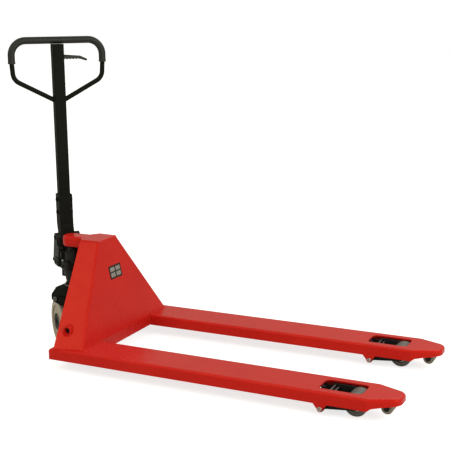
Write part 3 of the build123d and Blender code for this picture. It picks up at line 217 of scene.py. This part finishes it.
NODES_OF = [
    (RED, ["left_fork", "right_fork", "frame_panel", "top_plate", "shaft_collars", "cross_member"]),
    (BLACK, ["lever_pin", "thrust_plate", "tiller_yoke", "tiller_post", "tiller_loop", "rocker_frame",
             "yoke_bolts"]),
    (CASTING, ["pump_body", "ram_seat"]),
    (DARK_LINK, ["entry_brackets", "entry_axles", "rocker_shaft", "left_wheel_link", "right_wheel_link",
                 "left_push_rod", "right_push_rod", "plunger_cap", "tiller_pin", "cam_pin", "release_pin",
                 "release_lever", "ram_gland", "wheel_axle", "axle_circlips"]),
    (SPRING, ["plunger_spring", "plunger", "cam_roller", "release_valve", "rocker_pins"]),
    (HUB, ["left_steer_hub", "right_steer_hub", "pivot_bushes"]),
    (STEER_TYRE, ["left_steer_tyre", "right_steer_tyre"]),
    (LOAD_TYRE, ["left_load_tyre", "right_load_tyre"]),
    (ENTRY_TYRE, ["left_entry_roller", "right_entry_roller"]),
    (CHROME, ["ram"]),
    (GRIP, ["loop_grip"]),
    (LEVER, ["control_lever"]),
    (LABEL, ["rating_plate"]),
]
MATERIAL_OF = {name: material for material, names in NODES_OF for name in names}
for name, cad_object in frame["nodes"].items():
    cad_object.data.materials.clear()
    cad_object.data.materials.append(MATERIAL_OF.get(name, ZINC))


# ---------------------------------------------------------------------------
# Where things are, from the frame
# ---------------------------------------------------------------------------
JOINTS = {joint["name"]: joint for joint in frame["record"]["behaviour"]["joints"]}
SIDEWAYS = -Vector(JOINTS["tiller_pivot"]["axis"])
FORWARD = Vector(JOINTS["control_lever_pivot"]["axis"])
KINGPIN = Vector(JOINTS["steer"]["pos_m"][:2] + [0.0])
X_AXIS = Vector((1, 0, 0))
Y_AXIS = Vector((0, 1, 0))
UP = Vector((0, 0, 1))
LOW = {name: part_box(name)[0] for name in frame["nodes"]}
HIGH = {name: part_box(name)[1] for name in frame["nodes"]}


def steer(x, y, z):
    """Point of the steering unit, in millimetres from the kingpin on the floor."""
    return KINGPIN + FORWARD * (x * MM) + SIDEWAYS * (y * MM) + UP * (z * MM)


def chassis(x, y, z):
    """Point of the chassis, in millimetres from the fork heels on the floor."""
    return Vector((LOW["left_fork"].x + x * MM, y * MM, z * MM))


# ---------------------------------------------------------------------------
# Mesh code for the added pieces
# ---------------------------------------------------------------------------
BEAD_STEP = 0.9 * MM    # distance between the rings of a weld bead
BEAD_PITCH = 3.4 * MM   # distance between its ripples
BEAD_RISE = 0.22        # share of its radius that ripples
BEAD_END = 0.3          # share of its radius left at its open ends
BEAD_SIDES = 9
SHARP_ANGLE = math.radians(38)


def finish_piece(name, body, mesh, material):
    """Object for a piece's mesh, on its body, with its material."""
    geometry = bpy.data.meshes.new(name)
    bmesh.ops.recalc_face_normals(mesh, faces=mesh.faces)
    mesh.to_mesh(geometry)
    mesh.free()
    geometry.materials.append(material)
    geometry.shade_smooth()
    geometry.set_sharp_from_angle(angle=SHARP_ANGLE)
    piece = bpy.data.objects.new(name, geometry)
    bpy.context.scene.collection.objects.link(piece)
    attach(piece, body)
    return piece


def circle_angles(count):
    """Angles, in radians, that share a full turn out evenly."""
    return [2 * math.pi * k / count for k in range(count)]


def add_tube(mesh, rings, closed=False):
    """Skin over rings of vertices, with flat ends unless it closes on itself."""
    sides = len(rings[0])
    pairs = list(zip(rings, rings[1:])) + ([(rings[-1], rings[0])] if closed else [])
    for first, second in pairs:
        for k in range(sides):
            after = (k + 1) % sides
            mesh.faces.new((first[k], first[after], second[after], second[k]))
    if not closed:
        mesh.faces.new(rings[0][::-1])
        mesh.faces.new(rings[-1])


def add_bead(mesh, path, radius, closed=False):
    """Rippled weld bead along a path of points."""
    points = list(path) + ([path[0]] if closed else [])
    samples = []
    travelled = 0.0
    for start, end in zip(points, points[1:]):
        length = (end - start).length
        steps = max(2, int(length / BEAD_STEP))
        for i in range(steps):
            samples.append((start.lerp(end, i / steps), travelled + length * i / steps))
        travelled += length
    if not closed:
        samples.append((points[-1], travelled))
    rings = []
    for i, (centre, distance) in enumerate(samples):
        following = (i + 1) % len(samples) if closed else min(i + 1, len(samples) - 1)
        preceding = i - 1 if closed else max(i - 1, 0)
        ahead = (samples[following][0] - samples[preceding][0]).normalized()
        out = ahead.orthogonal().normalized() if abs(ahead.z) > 0.95 else ahead.cross(UP).normalized()
        above = out.cross(ahead)
        ripple = abs(math.sin(math.pi * distance / BEAD_PITCH))
        size = radius * (1 - BEAD_RISE + BEAD_RISE * ripple) * random.uniform(0.96, 1.04)
        if not closed and i in (0, len(samples) - 1):
            size *= BEAD_END
        rings.append([mesh.verts.new(centre + (out * math.cos(a) + above * math.sin(a)) * size)
                      for a in circle_angles(BEAD_SIDES)])
    add_tube(mesh, rings, closed)


def add_turned(mesh, place, axis, profile, sides=32):
    """Turned shape from (radius, height) pairs in millimetres; a profile off the axis closes on itself."""
    axis = axis.normalized()
    out = axis.orthogonal().normalized()
    other = axis.cross(out)
    rings = []
    for radius, height in profile:
        middle = place + axis * (height * MM)
        if radius == 0:
            rings.append([mesh.verts.new(middle)])
            continue
        rings.append([mesh.verts.new(middle + (out * math.cos(a) + other * math.sin(a)) * (radius * MM))
                      for a in circle_angles(sides)])
    pairs = list(zip(rings, rings[1:]))
    if profile[0][0] > 0:
        pairs.append((rings[-1], rings[0]))
    for first, second in pairs:
        for k in range(sides):
            low = [first[k], first[(k + 1) % sides]] if len(first) > 1 else [first[0]]
            high = [second[(k + 1) % sides], second[k]] if len(second) > 1 else [second[0]]
            mesh.faces.new(low + high)


def add_hex_bolt(mesh, place, axis, across, height):
    """Hexagon head with a chamfered top, on a round flange."""
    flange, chamfer, corner, crown = across * 0.62, across * 0.58, across * 0.55, across * 0.46
    add_turned(mesh, place, axis, [(0, -1), (flange, -1), (flange, 1), (chamfer, 1.6), (0, 1.6)])
    add_turned(mesh, place, axis, [(0, 1), (corner, 1), (corner, height - 1), (crown, height), (0, height)],
               sides=6)


def add_socket_bolt(mesh, place, axis, radius, height):
    """Socket head screw: chamfered cylinder with a recess."""
    add_turned(mesh, place, axis,
               [(0, -1), (radius, -1), (radius, height - 0.8), (radius - 0.8, height),
                (radius * 0.55, height), (radius * 0.5, height * 0.45), (0, height * 0.4)], sides=24)


def add_nipple(mesh, place, axis):
    """Grease nipple: hexagon foot, waist and round head."""
    add_turned(mesh, place, axis, [(0, -1), (4.2, -1), (4.2, 3), (3.8, 3.4), (0, 3.4)], sides=6)
    add_turned(mesh, place, axis,
               [(0, 3), (2.0, 3), (1.8, 5.6), (2.9, 6.4), (3.0, 8.2), (2.2, 9.2), (0.8, 9.4), (0.6, 9.0),
                (0, 9.0)], sides=20)


def add_block(mesh, origin, along, across, upward, size, bevel):
    """Block with rounded edges: origin is the middle of its foot and size is in millimetres."""
    made = bmesh.new()
    bmesh.ops.create_cube(made, size=1.0)
    for vertex in made.verts:
        vertex.co = Vector((vertex.co.x * size[0], vertex.co.y * size[1], (vertex.co.z + 0.5) * size[2]))
    bmesh.ops.bevel(made, geom=made.edges[:] + made.verts[:], offset=bevel, segments=3, profile=0.5,
                    affect="EDGES", clamp_overlap=True)
    lookup = {}
    for vertex in made.verts:
        lookup[vertex] = mesh.verts.new(origin + (along * vertex.co.x + across * vertex.co.y
                                                  + upward * vertex.co.z) * MM)
    for face in made.faces:
        mesh.faces.new([lookup[vertex] for vertex in face.verts])
    made.free()


def ring(centre, axis, radius, count=40):
    """Points of a circle about an axis, radius in millimetres."""
    out = axis.orthogonal().normalized()
    other = axis.cross(out)
    return [centre + (out * math.cos(a) + other * math.sin(a)) * (radius * MM)
            for a in circle_angles(count)]


# ---------------------------------------------------------------------------
# Pieces of the chassis
# ---------------------------------------------------------------------------
FOOT_Z = HIGH["left_fork"].z / MM
CREST_Z = HIGH["frame_panel"].z / MM
FOOT_FRONT = (HIGH["frame_panel"].x - LOW["left_fork"].x) / MM
FOOT_HALF = HIGH["frame_panel"].y / MM
INNER_EDGE = LOW["left_fork"].y / MM
SHAFT = Vector(JOINTS["rocker_pivot"]["pos_m"])
SHAFT_X = (SHAFT.x - LOW["left_fork"].x) / MM
SHAFT_Z = SHAFT.z / MM
# Corners of the frame's leaning sides: places along the truck, and half widths
FOOT_FRONT_HALF = 314.0
FOOT_REAR = 21.0
HEAD_FRONT = 57.0
HEAD_FRONT_HALF = 68.0
HEAD_REAR = -23.0
HEAD_REAR_HALF = 75.0


def side_y(x, z):
    """Half width of the frame's leaning side at a point of its plane."""
    up_share = (z - FOOT_Z) / (CREST_Z - FOOT_Z)
    front_x = FOOT_FRONT + (HEAD_FRONT - FOOT_FRONT) * up_share
    front_y = FOOT_FRONT_HALF + (HEAD_FRONT_HALF - FOOT_FRONT_HALF) * up_share
    rear_x = FOOT_REAR + (HEAD_REAR - FOOT_REAR) * up_share
    rear_y = FOOT_HALF + (HEAD_REAR_HALF - FOOT_HALF) * up_share
    return front_y + (rear_y - front_y) * (front_x - x) / (front_x - rear_x)


def frame_welds():
    """Beads round the frame's feet, down the forks' inner walls, round the collars and over the top plate."""
    collar_radius = 19.6
    weld_depth = 40
    foot_end = FOOT_REAR + 6
    crest = CREST_Z - 0.5
    welds = bmesh.new()
    for sign in SIDES.values():
        add_bead(welds, [chassis(FOOT_FRONT, sign * (INNER_EDGE + 3), FOOT_Z),
                         chassis(FOOT_FRONT, sign * (FOOT_FRONT_HALF - 5), FOOT_Z),
                         chassis(FOOT_FRONT - 4, sign * (FOOT_FRONT_HALF + 1), FOOT_Z),
                         chassis(foot_end, sign * (side_y(foot_end, FOOT_Z) - 0.5), FOOT_Z)], 3.6 * MM)
        add_bead(welds, [chassis(FOOT_FRONT, sign * INNER_EDGE, FOOT_Z - 3),
                         chassis(FOOT_FRONT, sign * INNER_EDGE, FOOT_Z - weld_depth)], 3.0 * MM)
        collar = [(SHAFT_X + collar_radius * math.cos(a), SHAFT_Z + collar_radius * math.sin(a))
                  for a in circle_angles(48)]
        add_bead(welds, [chassis(x, sign * side_y(x, z), z) for x, z in collar], 1.7 * MM, closed=True)
        add_bead(welds, [chassis(HEAD_FRONT - 1, 0, crest),
                         chassis(HEAD_FRONT - 1, sign * (HEAD_FRONT_HALF - 4), crest),
                         chassis(HEAD_FRONT - 6, sign * (HEAD_FRONT_HALF - 1.5), crest),
                         chassis(HEAD_REAR + 3, sign * (HEAD_REAR_HALF - 2.5), crest)], 2.6 * MM)
    finish_piece("frame_welds", "chassis", welds, RED)


def nose_casting():
    """Rounded casting round the nose of the top plate, swept along its outline."""
    radius = HIGH["ram_seat"].y / MM + 6.05
    centre_x = (KINGPIN.x - LOW["left_fork"].x) / MM
    root = HEAD_REAR + 2
    foot = CREST_Z - 37
    arc_steps = 32
    outline = [(root, radius, 0, 1)]
    for k in range(arc_steps + 1):
        turn = math.pi / 2 + math.pi * k / arc_steps
        out_x, out_y = math.cos(turn), math.sin(turn)
        outline.append((centre_x + radius * out_x, radius * out_y, out_x, out_y))
    outline.append((root, -radius, 0, -1))
    section = [(-6, 41), (-6, 43.3), (-2, 43.1), (1.5, 41.8), (4.2, 38.5), (5.6, 33), (6, 20), (5.6, 8),
               (4.2, 3.5), (1.5, 0.6), (-2, -0.2), (-4, 4)]
    nose = bmesh.new()
    rings = [[nose.verts.new(chassis(x + out_x * offset, y + out_y * offset, foot + z))
              for offset, z in section] for x, y, out_x, out_y in outline]
    add_tube(nose, rings)
    finish_piece("nose_casting", "chassis", nose, RED)


def label_cells():
    """Four blank cells on the small plate of the front panel."""
    cell_size = (31, 17, 1.3)
    middle = (LOW["rating_plate"] + HIGH["rating_plate"]) / 2
    lean = math.atan2(FOOT_FRONT - HEAD_FRONT, CREST_Z - FOOT_Z)
    outward = Vector((math.cos(lean), 0, math.sin(lean)))
    upward = Vector((-math.sin(lean), 0, math.cos(lean)))
    cells = bmesh.new()
    for column in (-1, 1):
        for row in (-1, 1):
            foot = middle + Y_AXIS * (column * 19.5 * MM) + upward * (row * 11 * MM)
            add_block(cells, foot + outward * (-0.8 * MM), Y_AXIS, upward, outward, cell_size, 0.35)
    finish_piece("label_cells", "chassis", cells, CELL)


def pin_nipples():
    """Grease nipple on the outer end of each link pin."""
    nipples = bmesh.new()
    for name, sign in SIDES.items():
        pin = Vector(JOINTS[f"{name}_link_pivot"]["pos_m"])
        pin_end = HIGH["link_pins"].y if sign > 0 else LOW["link_pins"].y
        add_nipple(nipples, Vector((pin.x, pin_end - sign * 0.4 * MM, pin.z)), Vector((0, sign, 0)))
    finish_piece("pin_nipples", "chassis", nipples, ZINC)


# ---------------------------------------------------------------------------
# Pieces of the rocker and the wheel links
# ---------------------------------------------------------------------------
def rocker_welds():
    """Beads where the down arms meet the rocker's shaft."""
    welds = bmesh.new()
    for sign in SIDES.values():
        for distance in (95.0, 107.0):
            centre = Vector((SHAFT.x, sign * distance * MM, SHAFT.z))
            add_bead(welds, ring(centre, Y_AXIS, 21.5), 2.2 * MM, closed=True)
    finish_piece("rocker_welds", "rocker", welds, BLACK)


def link_pieces(name):
    """Cheeks beside a load wheel's link, and the two spacers between them."""
    pin = Vector(JOINTS[f"{name}_link_pivot"]["pos_m"])
    cheek_size = (84, 5, 46)
    cheeks = bmesh.new()
    for face in SIDES.values():
        foot = pin + Vector((48, face * 38.6, 6)) * MM
        add_block(cheeks, foot, X_AXIS, Y_AXIS, UP, cheek_size, 1.6)
    spacers = bmesh.new()
    for ahead, above in ((14, 44), (27, 40)):
        add_turned(spacers, pin + Vector((ahead, -37, above)) * MM, Y_AXIS,
                   [(0, 0), (5, 0), (5, 33), (4.2, 34), (4.2, 40), (5, 41), (5, 74), (0, 74)], sides=24)
    finish_piece(f"{name}_link_cheeks", f"{name}_wheel_link", cheeks, DARK_LINK)
    finish_piece(f"{name}_link_spacers", f"{name}_wheel_link", spacers, SPRING)


# ---------------------------------------------------------------------------
# Pieces of the steering unit
# ---------------------------------------------------------------------------
PUMP_TOP = HIGH["filler_plug"].z / MM - 6


def pump_bolts():
    """Screws on top of the pump and bolt heads on its sides."""
    bolts = bmesh.new()
    for x, y in ((26, 34), (26, -34), (-126, 34), (-126, -34)):
        add_socket_bolt(bolts, steer(x, y, PUMP_TOP), UP, 6.5, 6.5)
    for x, z in ((12, 320), (-128, 320)):
        for sign in SIDES.values():
            add_hex_bolt(bolts, steer(x, sign * 46, z), SIDEWAYS * sign, 13, 6)
    finish_piece("pump_bolts", "steer_unit", bolts, DARK_LINK)


def valve_covers():
    """Cover with a round cap and a hexagon plug on each side of the pump."""
    valve_z = 324
    cover_size = (54, 34, 12)
    valves = bmesh.new()
    for sign in SIDES.values():
        add_block(valves, steer(-58, sign * 45, valve_z), FORWARD, UP, SIDEWAYS * sign, cover_size, 4)
        add_turned(valves, steer(-70, sign * 56, valve_z), SIDEWAYS * sign,
                   [(0, -2), (10, -2), (10, 3), (8.5, 4.5), (5, 4.5), (4.4, 2.5), (0, 2.5)])
        add_turned(valves, steer(-46, sign * 56, valve_z), SIDEWAYS * sign,
                   [(0, -2), (7, -2), (7, 2.5), (6, 3.5), (0, 3.5)], sides=6)
    finish_piece("valve_covers", "steer_unit", valves, CASTING)


def cylinder_bands():
    """Wide band and two narrow ones round the ram's cylinder."""
    bands = bmesh.new()
    add_turned(bands, steer(0, 0, 352), UP, [(32.6, -3.5), (34.6, -2.5), (34.6, 2.5), (32.6, 3.5)], sides=48)
    for height in (366, 371):
        add_turned(bands, steer(0, 0, height), UP,
                   [(32.6, -1.2), (34.0, -0.7), (34.0, 0.7), (32.6, 1.2)], sides=48)
    finish_piece("cylinder_bands", "steer_unit", bands, CASTING)


def ram_wiper():
    """Lipped rubber ring round the ram, on top of its gland."""
    wiper = bmesh.new()
    add_turned(wiper, steer(0, 0, 384), UP,
               [(15.6, 0), (22, 0), (22.5, 3), (20.5, 4.5), (21.2, 6.5), (20.2, 9), (17, 12), (15.6, 12)],
               sides=40)
    finish_piece("ram_wiper", "steer_unit", wiper, GRIP)


def return_spring():
    """Coil round the pump's plunger, in place of the hidden CAD spring; the real spring shortens as the
    plunger goes in, but this coil keeps one length.
    """
    wire = 1.8 * MM
    coil = 15.0 * MM
    turns = 6
    steps = 36
    foot, head = LOW["plunger_spring"].z, HIGH["plunger_spring"].z
    middle = (LOW["plunger_spring"] + HIGH["plunger_spring"]) / 2
    spring = bmesh.new()
    rings = []
    for k in range(turns * steps + 1):
        turn = 2 * math.pi * k / steps
        out = FORWARD * math.cos(turn) + SIDEWAYS * math.sin(turn)
        height = foot + wire + (head - foot - 2 * wire) * k / (turns * steps)
        centre = Vector((middle.x, middle.y, height)) + out * coil
        rings.append([spring.verts.new(centre + (out * math.cos(a) + UP * math.sin(a)) * wire)
                      for a in circle_angles(12)])
    add_tube(spring, rings)
    piece = finish_piece("return_spring", "steer_unit", spring, SPRING)
    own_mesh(piece)
    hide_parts("plunger_spring")


def inner_guard():
    """Upright plate with two rivets between the ram's cylinder and the plunger, below the yoke's ears."""
    guard_size = (60, 3, 66)
    guard = bmesh.new()
    add_block(guard, steer(-74.5, 0, PUMP_TOP - 2), SIDEWAYS, FORWARD, UP, guard_size, 1.0)
    for sign in SIDES.values():
        add_turned(guard, steer(-73.2, sign * 22, PUMP_TOP + 56), FORWARD,
                   [(0, -1), (4.5, -1), (4.5, 1.4), (3.2, 2.6), (0, 2.6)], sides=20)
    finish_piece("inner_guard", "steer_unit", guard, CASTING)


def hub_shield(name, sign):
    """Dark ring with six ribs on a steering wheel's face; its hole clears the fixed circlip."""
    face = Vector(JOINTS[f"{name}_steer_wheel_spin"]["pos_m"]) + SIDEWAYS * (sign * 25 * MM)
    rib_size = (8, 4, 3.4)
    shield = bmesh.new()
    add_turned(shield, face, SIDEWAYS * sign,
               [(14, -1), (14, 1.0), (14.6, 1.6), (17, 1.6), (18, 0.9), (21, 0.9), (22, 1.8), (32.5, 1.8),
                (34, 0.6), (34, -1)], sides=48)
    for turn in circle_angles(6):
        out = FORWARD * math.cos(turn) + UP * math.sin(turn)
        side = SIDEWAYS.cross(out) * sign
        foot = face + out * (28 * MM) - SIDEWAYS * (sign * 1.0 * MM)
        add_block(shield, foot, out, side, SIDEWAYS * sign, rib_size, 1.0)
    finish_piece(f"{name}_hub_shield", f"{name}_steer_wheel", shield, HUB)


# ---------------------------------------------------------------------------
# Pieces of the tiller
# ---------------------------------------------------------------------------
TILLER_X = (Vector(JOINTS["control_lever_pivot"]["pos_m"]) - KINGPIN).dot(FORWARD) / MM
YOKE_TOP = HIGH["tiller_yoke"].z / MM
GRIP_BOTTOM = LOW["loop_grip"].z / MM


def tiller_welds():
    """Beads round the post at the yoke's top, and where the loop's arms meet the post."""
    post_face = 22.8
    arm_z = 981
    shares = (0.06, 0.2, 0.5, 0.8, 0.94)
    welds = bmesh.new()
    corners = [(x * post_face, y * post_face) for x, y in ((1, 1), (-1, 1), (-1, -1), (1, -1))]
    path = []
    for (x, y), (next_x, next_y) in zip(corners, corners[1:] + corners[:1]):
        for share in shares:
            path.append(steer(TILLER_X + x + (next_x - x) * share, y + (next_y - y) * share, YOKE_TOP))
    add_bead(welds, path, 2.4 * MM, closed=True)
    for sign in SIDES.values():
        arm = SIDEWAYS * sign * 0.88 + UP * 0.48
        outward = SIDEWAYS * sign
        points = []
        for point in ring(steer(TILLER_X, sign * 23.5, arm_z), arm.normalized(), 10.2, 36):
            offset = (point - steer(TILLER_X, sign * 22.5, arm_z)).dot(outward)
            points.append(point - arm * (offset / arm.dot(outward)))
        add_bead(welds, points, 2.0 * MM, closed=True)
    finish_piece("tiller_welds", "tiller", welds, BLACK)


def yoke_apron():
    """Plate that carries the yoke's front wall further down, in front of the cam roller."""
    apron_size = (54, 7, 42)
    apron = bmesh.new()
    add_block(apron, steer(-73.5, 0, 431), SIDEWAYS, FORWARD, UP, apron_size, 2.2)
    finish_piece("yoke_apron", "tiller", apron, BLACK)


def grip_ends():
    """Thick rubber ring at each lower end of the grip."""
    ends = bmesh.new()
    for sign in SIDES.values():
        add_turned(ends, steer(TILLER_X, sign * 184, GRIP_BOTTOM), UP,
                   [(9.8, -1.5), (13.4, -1.5), (14.7, -0.2), (15.0, 2.5), (14.6, 5.5), (13.6, 7.0),
                    (9.8, 7.0)], sides=40)
    finish_piece("grip_ends", "tiller", ends, GRIP)


frame_welds()
nose_casting()
label_cells()
pin_nipples()
rocker_welds()
pump_bolts()
valve_covers()
cylinder_bands()
ram_wiper()
return_spring()
inner_guard()
for wheel_side in SIDES:
    link_pieces(wheel_side)
for wheel_side, wheel_sign in SIDES.items():
    hub_shield(wheel_side, wheel_sign)
tiller_welds()
yoke_apron()
grip_ends()


# ---------------------------------------------------------------------------
# Floor, light and camera
# ---------------------------------------------------------------------------
FLOOR_REACH = 30.0
FLOOR_GLOW = 0.74        # seen by the camera alone, so that the floor is as pale as the sky
SKY_STRENGTH = 0.66
GLOSSY_DIMMING = 0.26    # taken off the sky that shiny surfaces reflect


def studio():
    """Plain pale floor and soft light."""
    floor_material, tree, shader, place = new_material("floor")
    tone = remap(tree, noise(tree, place, 1.5, 2.0), 0.3, 0.7)
    tree.links.new(blend_colour(tree, tone, (0.60, 0.60, 0.60, 1), (0.62, 0.62, 0.62, 1)),
                   shader.inputs["Base Color"])
    shader.inputs["Roughness"].default_value = 0.9
    shader.inputs["Specular IOR Level"].default_value = 0.1
    shader.inputs["Emission Color"].default_value = (1, 1, 1, 1)
    seen = node(tree, "ShaderNodeLightPath").outputs["Is Camera Ray"]
    tree.links.new(maths(tree, "MULTIPLY", seen, FLOOR_GLOW), shader.inputs["Emission Strength"])
    mesh = bpy.data.meshes.new("floor")
    corners = [(x * FLOOR_REACH, y * FLOOR_REACH, 0) for x, y in ((-1, -1), (1, -1), (1, 1), (-1, 1))]
    mesh.from_pydata(corners, [], [(0, 1, 2, 3)])
    mesh.materials.append(floor_material)
    floor = bpy.data.objects.new("floor", mesh)
    bpy.context.scene.collection.objects.link(floor)

    world = bpy.data.worlds.new("studio")
    world.use_nodes = True
    background = world.node_tree.nodes["Background"]
    rays = node(world.node_tree, "ShaderNodeLightPath").outputs
    direct = rays["Is Camera Ray"]
    dimmed = maths(world.node_tree, "MULTIPLY", rays["Is Glossy Ray"], -GLOSSY_DIMMING)
    plain = remap(world.node_tree, direct, 0.0, 1.0, SKY_STRENGTH, 1.0)
    strength = maths(world.node_tree, "ADD", plain, dimmed)
    world.node_tree.links.new(strength, background.inputs["Strength"])
    sky = blend_colour(world.node_tree, direct, (1.0, 0.97, 0.84, 1), (1, 1, 1, 1))
    world.node_tree.links.new(sky, background.inputs["Color"])
    bpy.context.scene.world = world

    def softbox(name, place, size, power):
        light = bpy.data.lights.new(name, "AREA")
        light.shape = "DISK"
        light.size = size
        light.energy = power
        lamp = bpy.data.objects.new(name, light)
        lamp.location = place
        lamp.rotation_euler = (Vector(place) - Vector((0, 0, 0.3))).to_track_quat("Z", "Y").to_euler()
        bpy.context.scene.collection.objects.link(lamp)

    softbox("key", (-1.6, -3.4, 4.4), 3.2, 44)
    softbox("fill", (4.2, -1.4, 2.6), 3.4, 74)
    softbox("rim", (0.5, 3.6, 3.8), 2.8, 34)


# The camera's place and angles were fitted to the photograph's view
CAMERA_PLACE = Vector((1.64129, -3.22335, 1.28752))
CAMERA_YAW = math.radians(26.06)
CAMERA_PITCH = math.radians(11.8)
CAMERA_ROLL = math.radians(-0.69)
CAMERA_LENS = 79.07


def camera():
    """Camera at the same viewing angle as the object was photographed from."""
    ahead = Vector((-math.sin(CAMERA_YAW) * math.cos(CAMERA_PITCH),
                    math.cos(CAMERA_YAW) * math.cos(CAMERA_PITCH), -math.sin(CAMERA_PITCH)))
    level = Vector((math.cos(CAMERA_YAW), math.sin(CAMERA_YAW), 0))
    above = level.cross(ahead)
    right = level * math.cos(CAMERA_ROLL) + above * math.sin(CAMERA_ROLL)
    up = above * math.cos(CAMERA_ROLL) - level * math.sin(CAMERA_ROLL)
    data = bpy.data.cameras.new("camera")
    data.sensor_width = 36
    data.lens = CAMERA_LENS
    eye = bpy.data.objects.new("camera", data)
    eye.matrix_world = Matrix.Translation(CAMERA_PLACE) @ Matrix((right, up, -ahead)).transposed().to_4x4()
    bpy.context.scene.collection.objects.link(eye)
    bpy.context.scene.camera = eye
    bpy.context.scene.view_settings.view_transform = "Standard"


studio()
camera()
